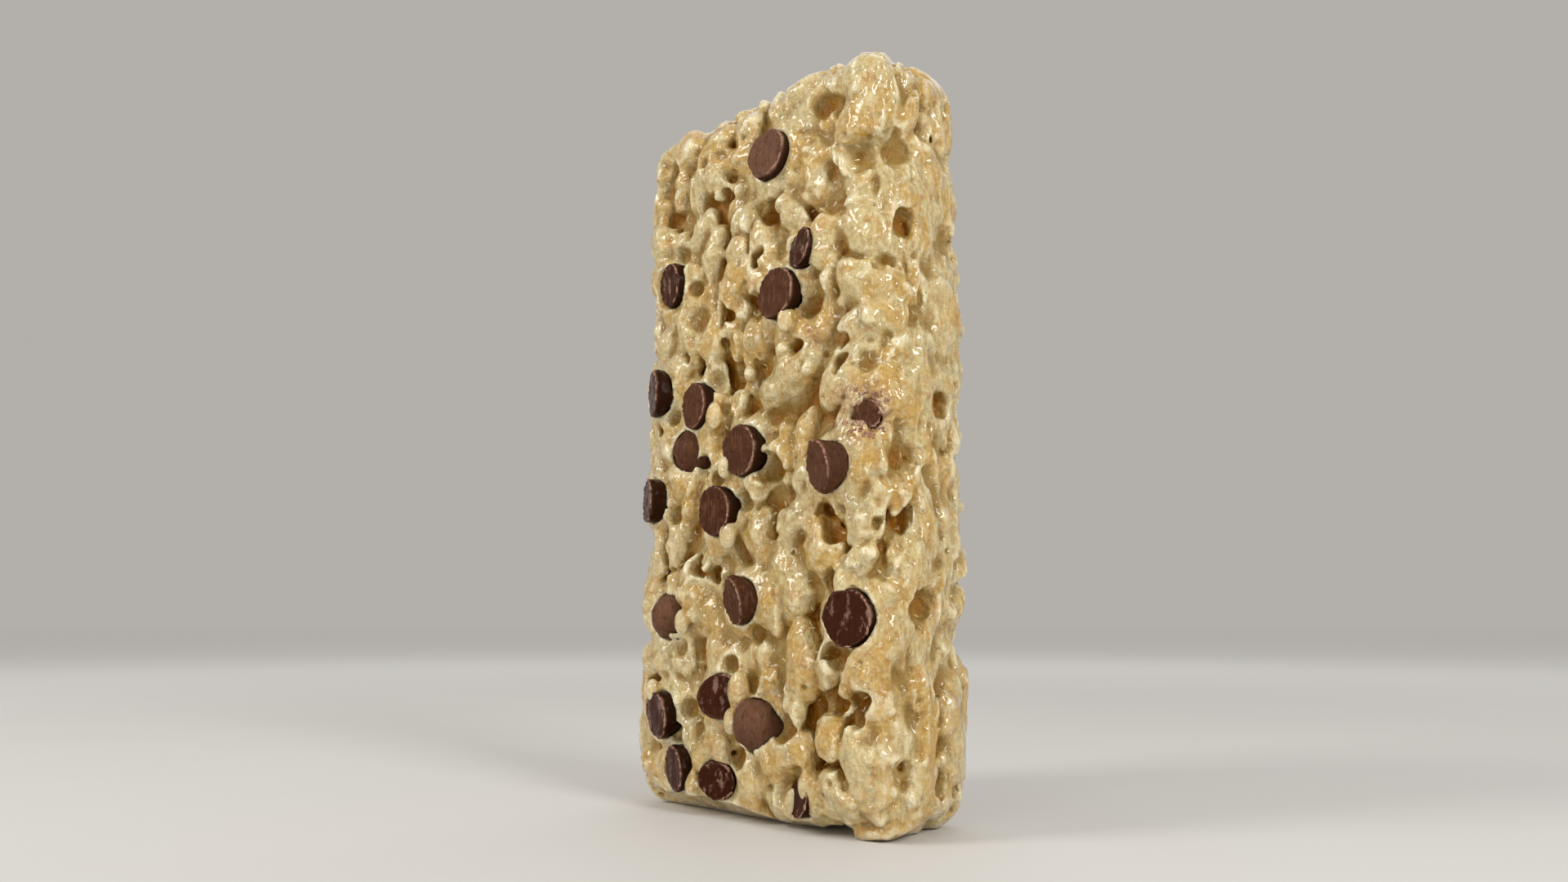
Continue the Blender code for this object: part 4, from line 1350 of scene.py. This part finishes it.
def chocolate_material():
    n = Nodes("scuffed chocolate")
    shine = n.attribute("shine")
    scratched = n.noise(0.3, upward=0.1)
    bloom = n.times(shine, n.ramp(n.noise(1.2, 6, 0.7, upward=0.55), 0.54, 0.63))
    # Painted highlight on the rim, over its pale chipped edge.
    rim = n.times(n.attribute("rim"), n.ramp(n.noise(0.6, 5), 0.40, 0.52))
    colour = n.layered((0.050, 0.013, 0.0035), (
        (n.attribute("tone"), (0.15, 0.072, 0.043)),
        (n.ramp(n.noise(0.9, 5, 0.6), 0.50, 0.64, 0.0, 0.6), (0.13, 0.052, 0.022)),
        (n.ramp(n.noise(0.7, 4), 0.46, 0.36, 0.0, 0.4), (0.028, 0.007, 0.002)),
        (n.times(n.ramp(scratched, 0.54, 0.64), 0.35), (0.24, 0.12, 0.068)),
        (n.times(shine, 0.85), (0.040, 0.009, 0.003)),
        (n.times(bloom, 0.7), (0.30, 0.18, 0.14)),
        # Painted shade on the chips' sides.
        (n.times(n.attribute("painted_wall_shade"), 0.92), (0.022, 0.0075, 0.0025)),
        # Pale rim: partly the chipped edge's own colour, mostly a painted highlight on its right side.
        (n.times(rim, 0.8), (0.42, 0.25, 0.175)),
    ))
    rough = n.ramp(n.math("SUBTRACT", shine, n.times(bloom, 0.7)), 0.0, 1.0, 0.5, 0.16)
    normal = n.bumps((scratched, 0.5, 0.05), (n.noise(0.7, 5), 0.6, 0.14))
    return n.finish(
        Base_Color=colour, Roughness=rough, Normal=normal, IOR=1.45, Specular_IOR_Level=0.05,
    )


def crumb_material():
    n = Nodes("chocolate crumbs")
    colour = n.mix(n.noise(0.5), (0.24, 0.095, 0.055), (0.46, 0.26, 0.18))
    return n.finish(Base_Color=colour, Roughness=0.5, Normal=n.bumps((n.noise(0.2), 0.4, 0.04)))


def floor_material():
    """A pale board that grows paler far from the object: painted shade near the object offsets the
    pool of lamp light there, so that the far floor matches the sky.
    """
    n = Nodes("pale board")
    away = n.add("ShaderNodeVectorMath", operation="LENGTH")
    n.put(away.inputs[0], n.place)
    colour = n.mix(n.noise(40, 2), (0.72, 0.71, 0.69), (0.75, 0.74, 0.72))
    # Painted shade near the object, against the pool of lamp light there.
    colour = n.mix(n.ramp(away.outputs["Value"], 0.15, 0.5), colour, (0.98, 0.98, 0.98))
    return n.finish(Base_Color=colour, Roughness=0.6, Specular_IOR_Level=0.2)


# ---------------------------------------------------------------- floor, lights and camera

CAMERA_PLACE = Vector((87.31, -91.79, 21.31))
CAMERA_HEADING = -43.706
CAMERA_RISE = 9.792
CAMERA_LENS_MM = 24.444
SENSOR_MM = 36.0
FLOOR_RADIUS_M = 8.0
FLOOR_CORNERS = 96

# Each light's place, width and height, watts and colour. All of them face the middle of the bar.
LIGHT_TARGET = Vector((0, 0, 42))
LIGHTS = {
    "key": ((-170, -330, 300), (120, 170), 0.74, (1.0, 0.98, 0.95)),
    "front": ((60, -380, 60), (50, 140), 0.17, (1, 1, 1)),
    "fill": ((380, -60, 240), (120, 140), 0.88, (1, 1, 1)),
    "back": ((-150, 250, 475), (420, 420), 0.34, (1, 1, 1)),
}
WORLD_COLOUR = (1.0, 0.96, 0.90, 1)
WORLD_STRENGTH = 0.45


def add_object(name, data):
    obj = bpy.data.objects.new(name, data)
    bpy.context.scene.collection.objects.link(obj)
    return obj


def add_floor():
    mesh = bpy.data.meshes.new("floor")
    turns = [2 * math.pi * step / FLOOR_CORNERS for step in range(FLOOR_CORNERS)]
    edge = [(FLOOR_RADIUS_M * math.cos(turn), FLOOR_RADIUS_M * math.sin(turn), 0) for turn in turns]
    mesh.from_pydata(edge, [], [tuple(range(FLOOR_CORNERS))])
    mesh.materials.append(floor_material())
    floor = add_object("floor", mesh)
    floor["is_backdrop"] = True


def add_lights():
    for name, (place, size, watts, colour) in LIGHTS.items():
        light = bpy.data.lights.new(name, "AREA")
        light.shape = "RECTANGLE"
        light.size, light.size_y = (side * MM for side in size)
        light.energy = watts
        light.color = colour
        obj = add_object(name, light)
        obj.location = Vector(place) * MM
        away = LIGHT_TARGET * MM - obj.location
        obj.rotation_euler = away.to_track_quat("-Z", "Y").to_euler()
    world = bpy.data.worlds.new("studio")
    world.use_nodes = True
    background = world.node_tree.nodes["Background"]
    background.inputs["Color"].default_value = WORLD_COLOUR
    background.inputs["Strength"].default_value = WORLD_STRENGTH
    bpy.context.scene.world = world


def add_camera():
    camera = bpy.data.cameras.new("camera")
    camera.lens = CAMERA_LENS_MM
    camera.sensor_width = SENSOR_MM
    camera.clip_start = 0.005
    obj = add_object("camera", camera)
    obj.location = CAMERA_PLACE * MM
    obj.rotation_euler = (math.radians(90 + CAMERA_RISE), 0, math.radians(-CAMERA_HEADING))
    bpy.context.scene.camera = obj


def main():
    chips = [chip_of(node) for node in sorted(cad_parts) if node.startswith("chocolate_chip")]
    bar, field = make_bar(chips)
    bar.data.materials.append(rice_material())
    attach(bar, "root")
    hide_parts("rice_bar")
    threads = make_threads(bar, field, chips)
    threads.data.materials.append(thread_material())
    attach(threads, "root")
    crumbs = make_crumbs(chips, field)
    crumbs.data.materials.append(crumb_material())
    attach(crumbs, "root")
    chocolate = make_chips(chips)
    chocolate.data.materials.append(chocolate_material())
    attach(chocolate, "root")
    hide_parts(*(chip.name for chip in chips))
    add_floor()
    add_lights()
    add_camera()
    bpy.context.scene.view_settings.view_transform = "Standard"


main()

boxes = {"cad": CAD_BOUNDS, "visual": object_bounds()}
{name: [list(corner) for corner in box] for name, box in boxes.items()}
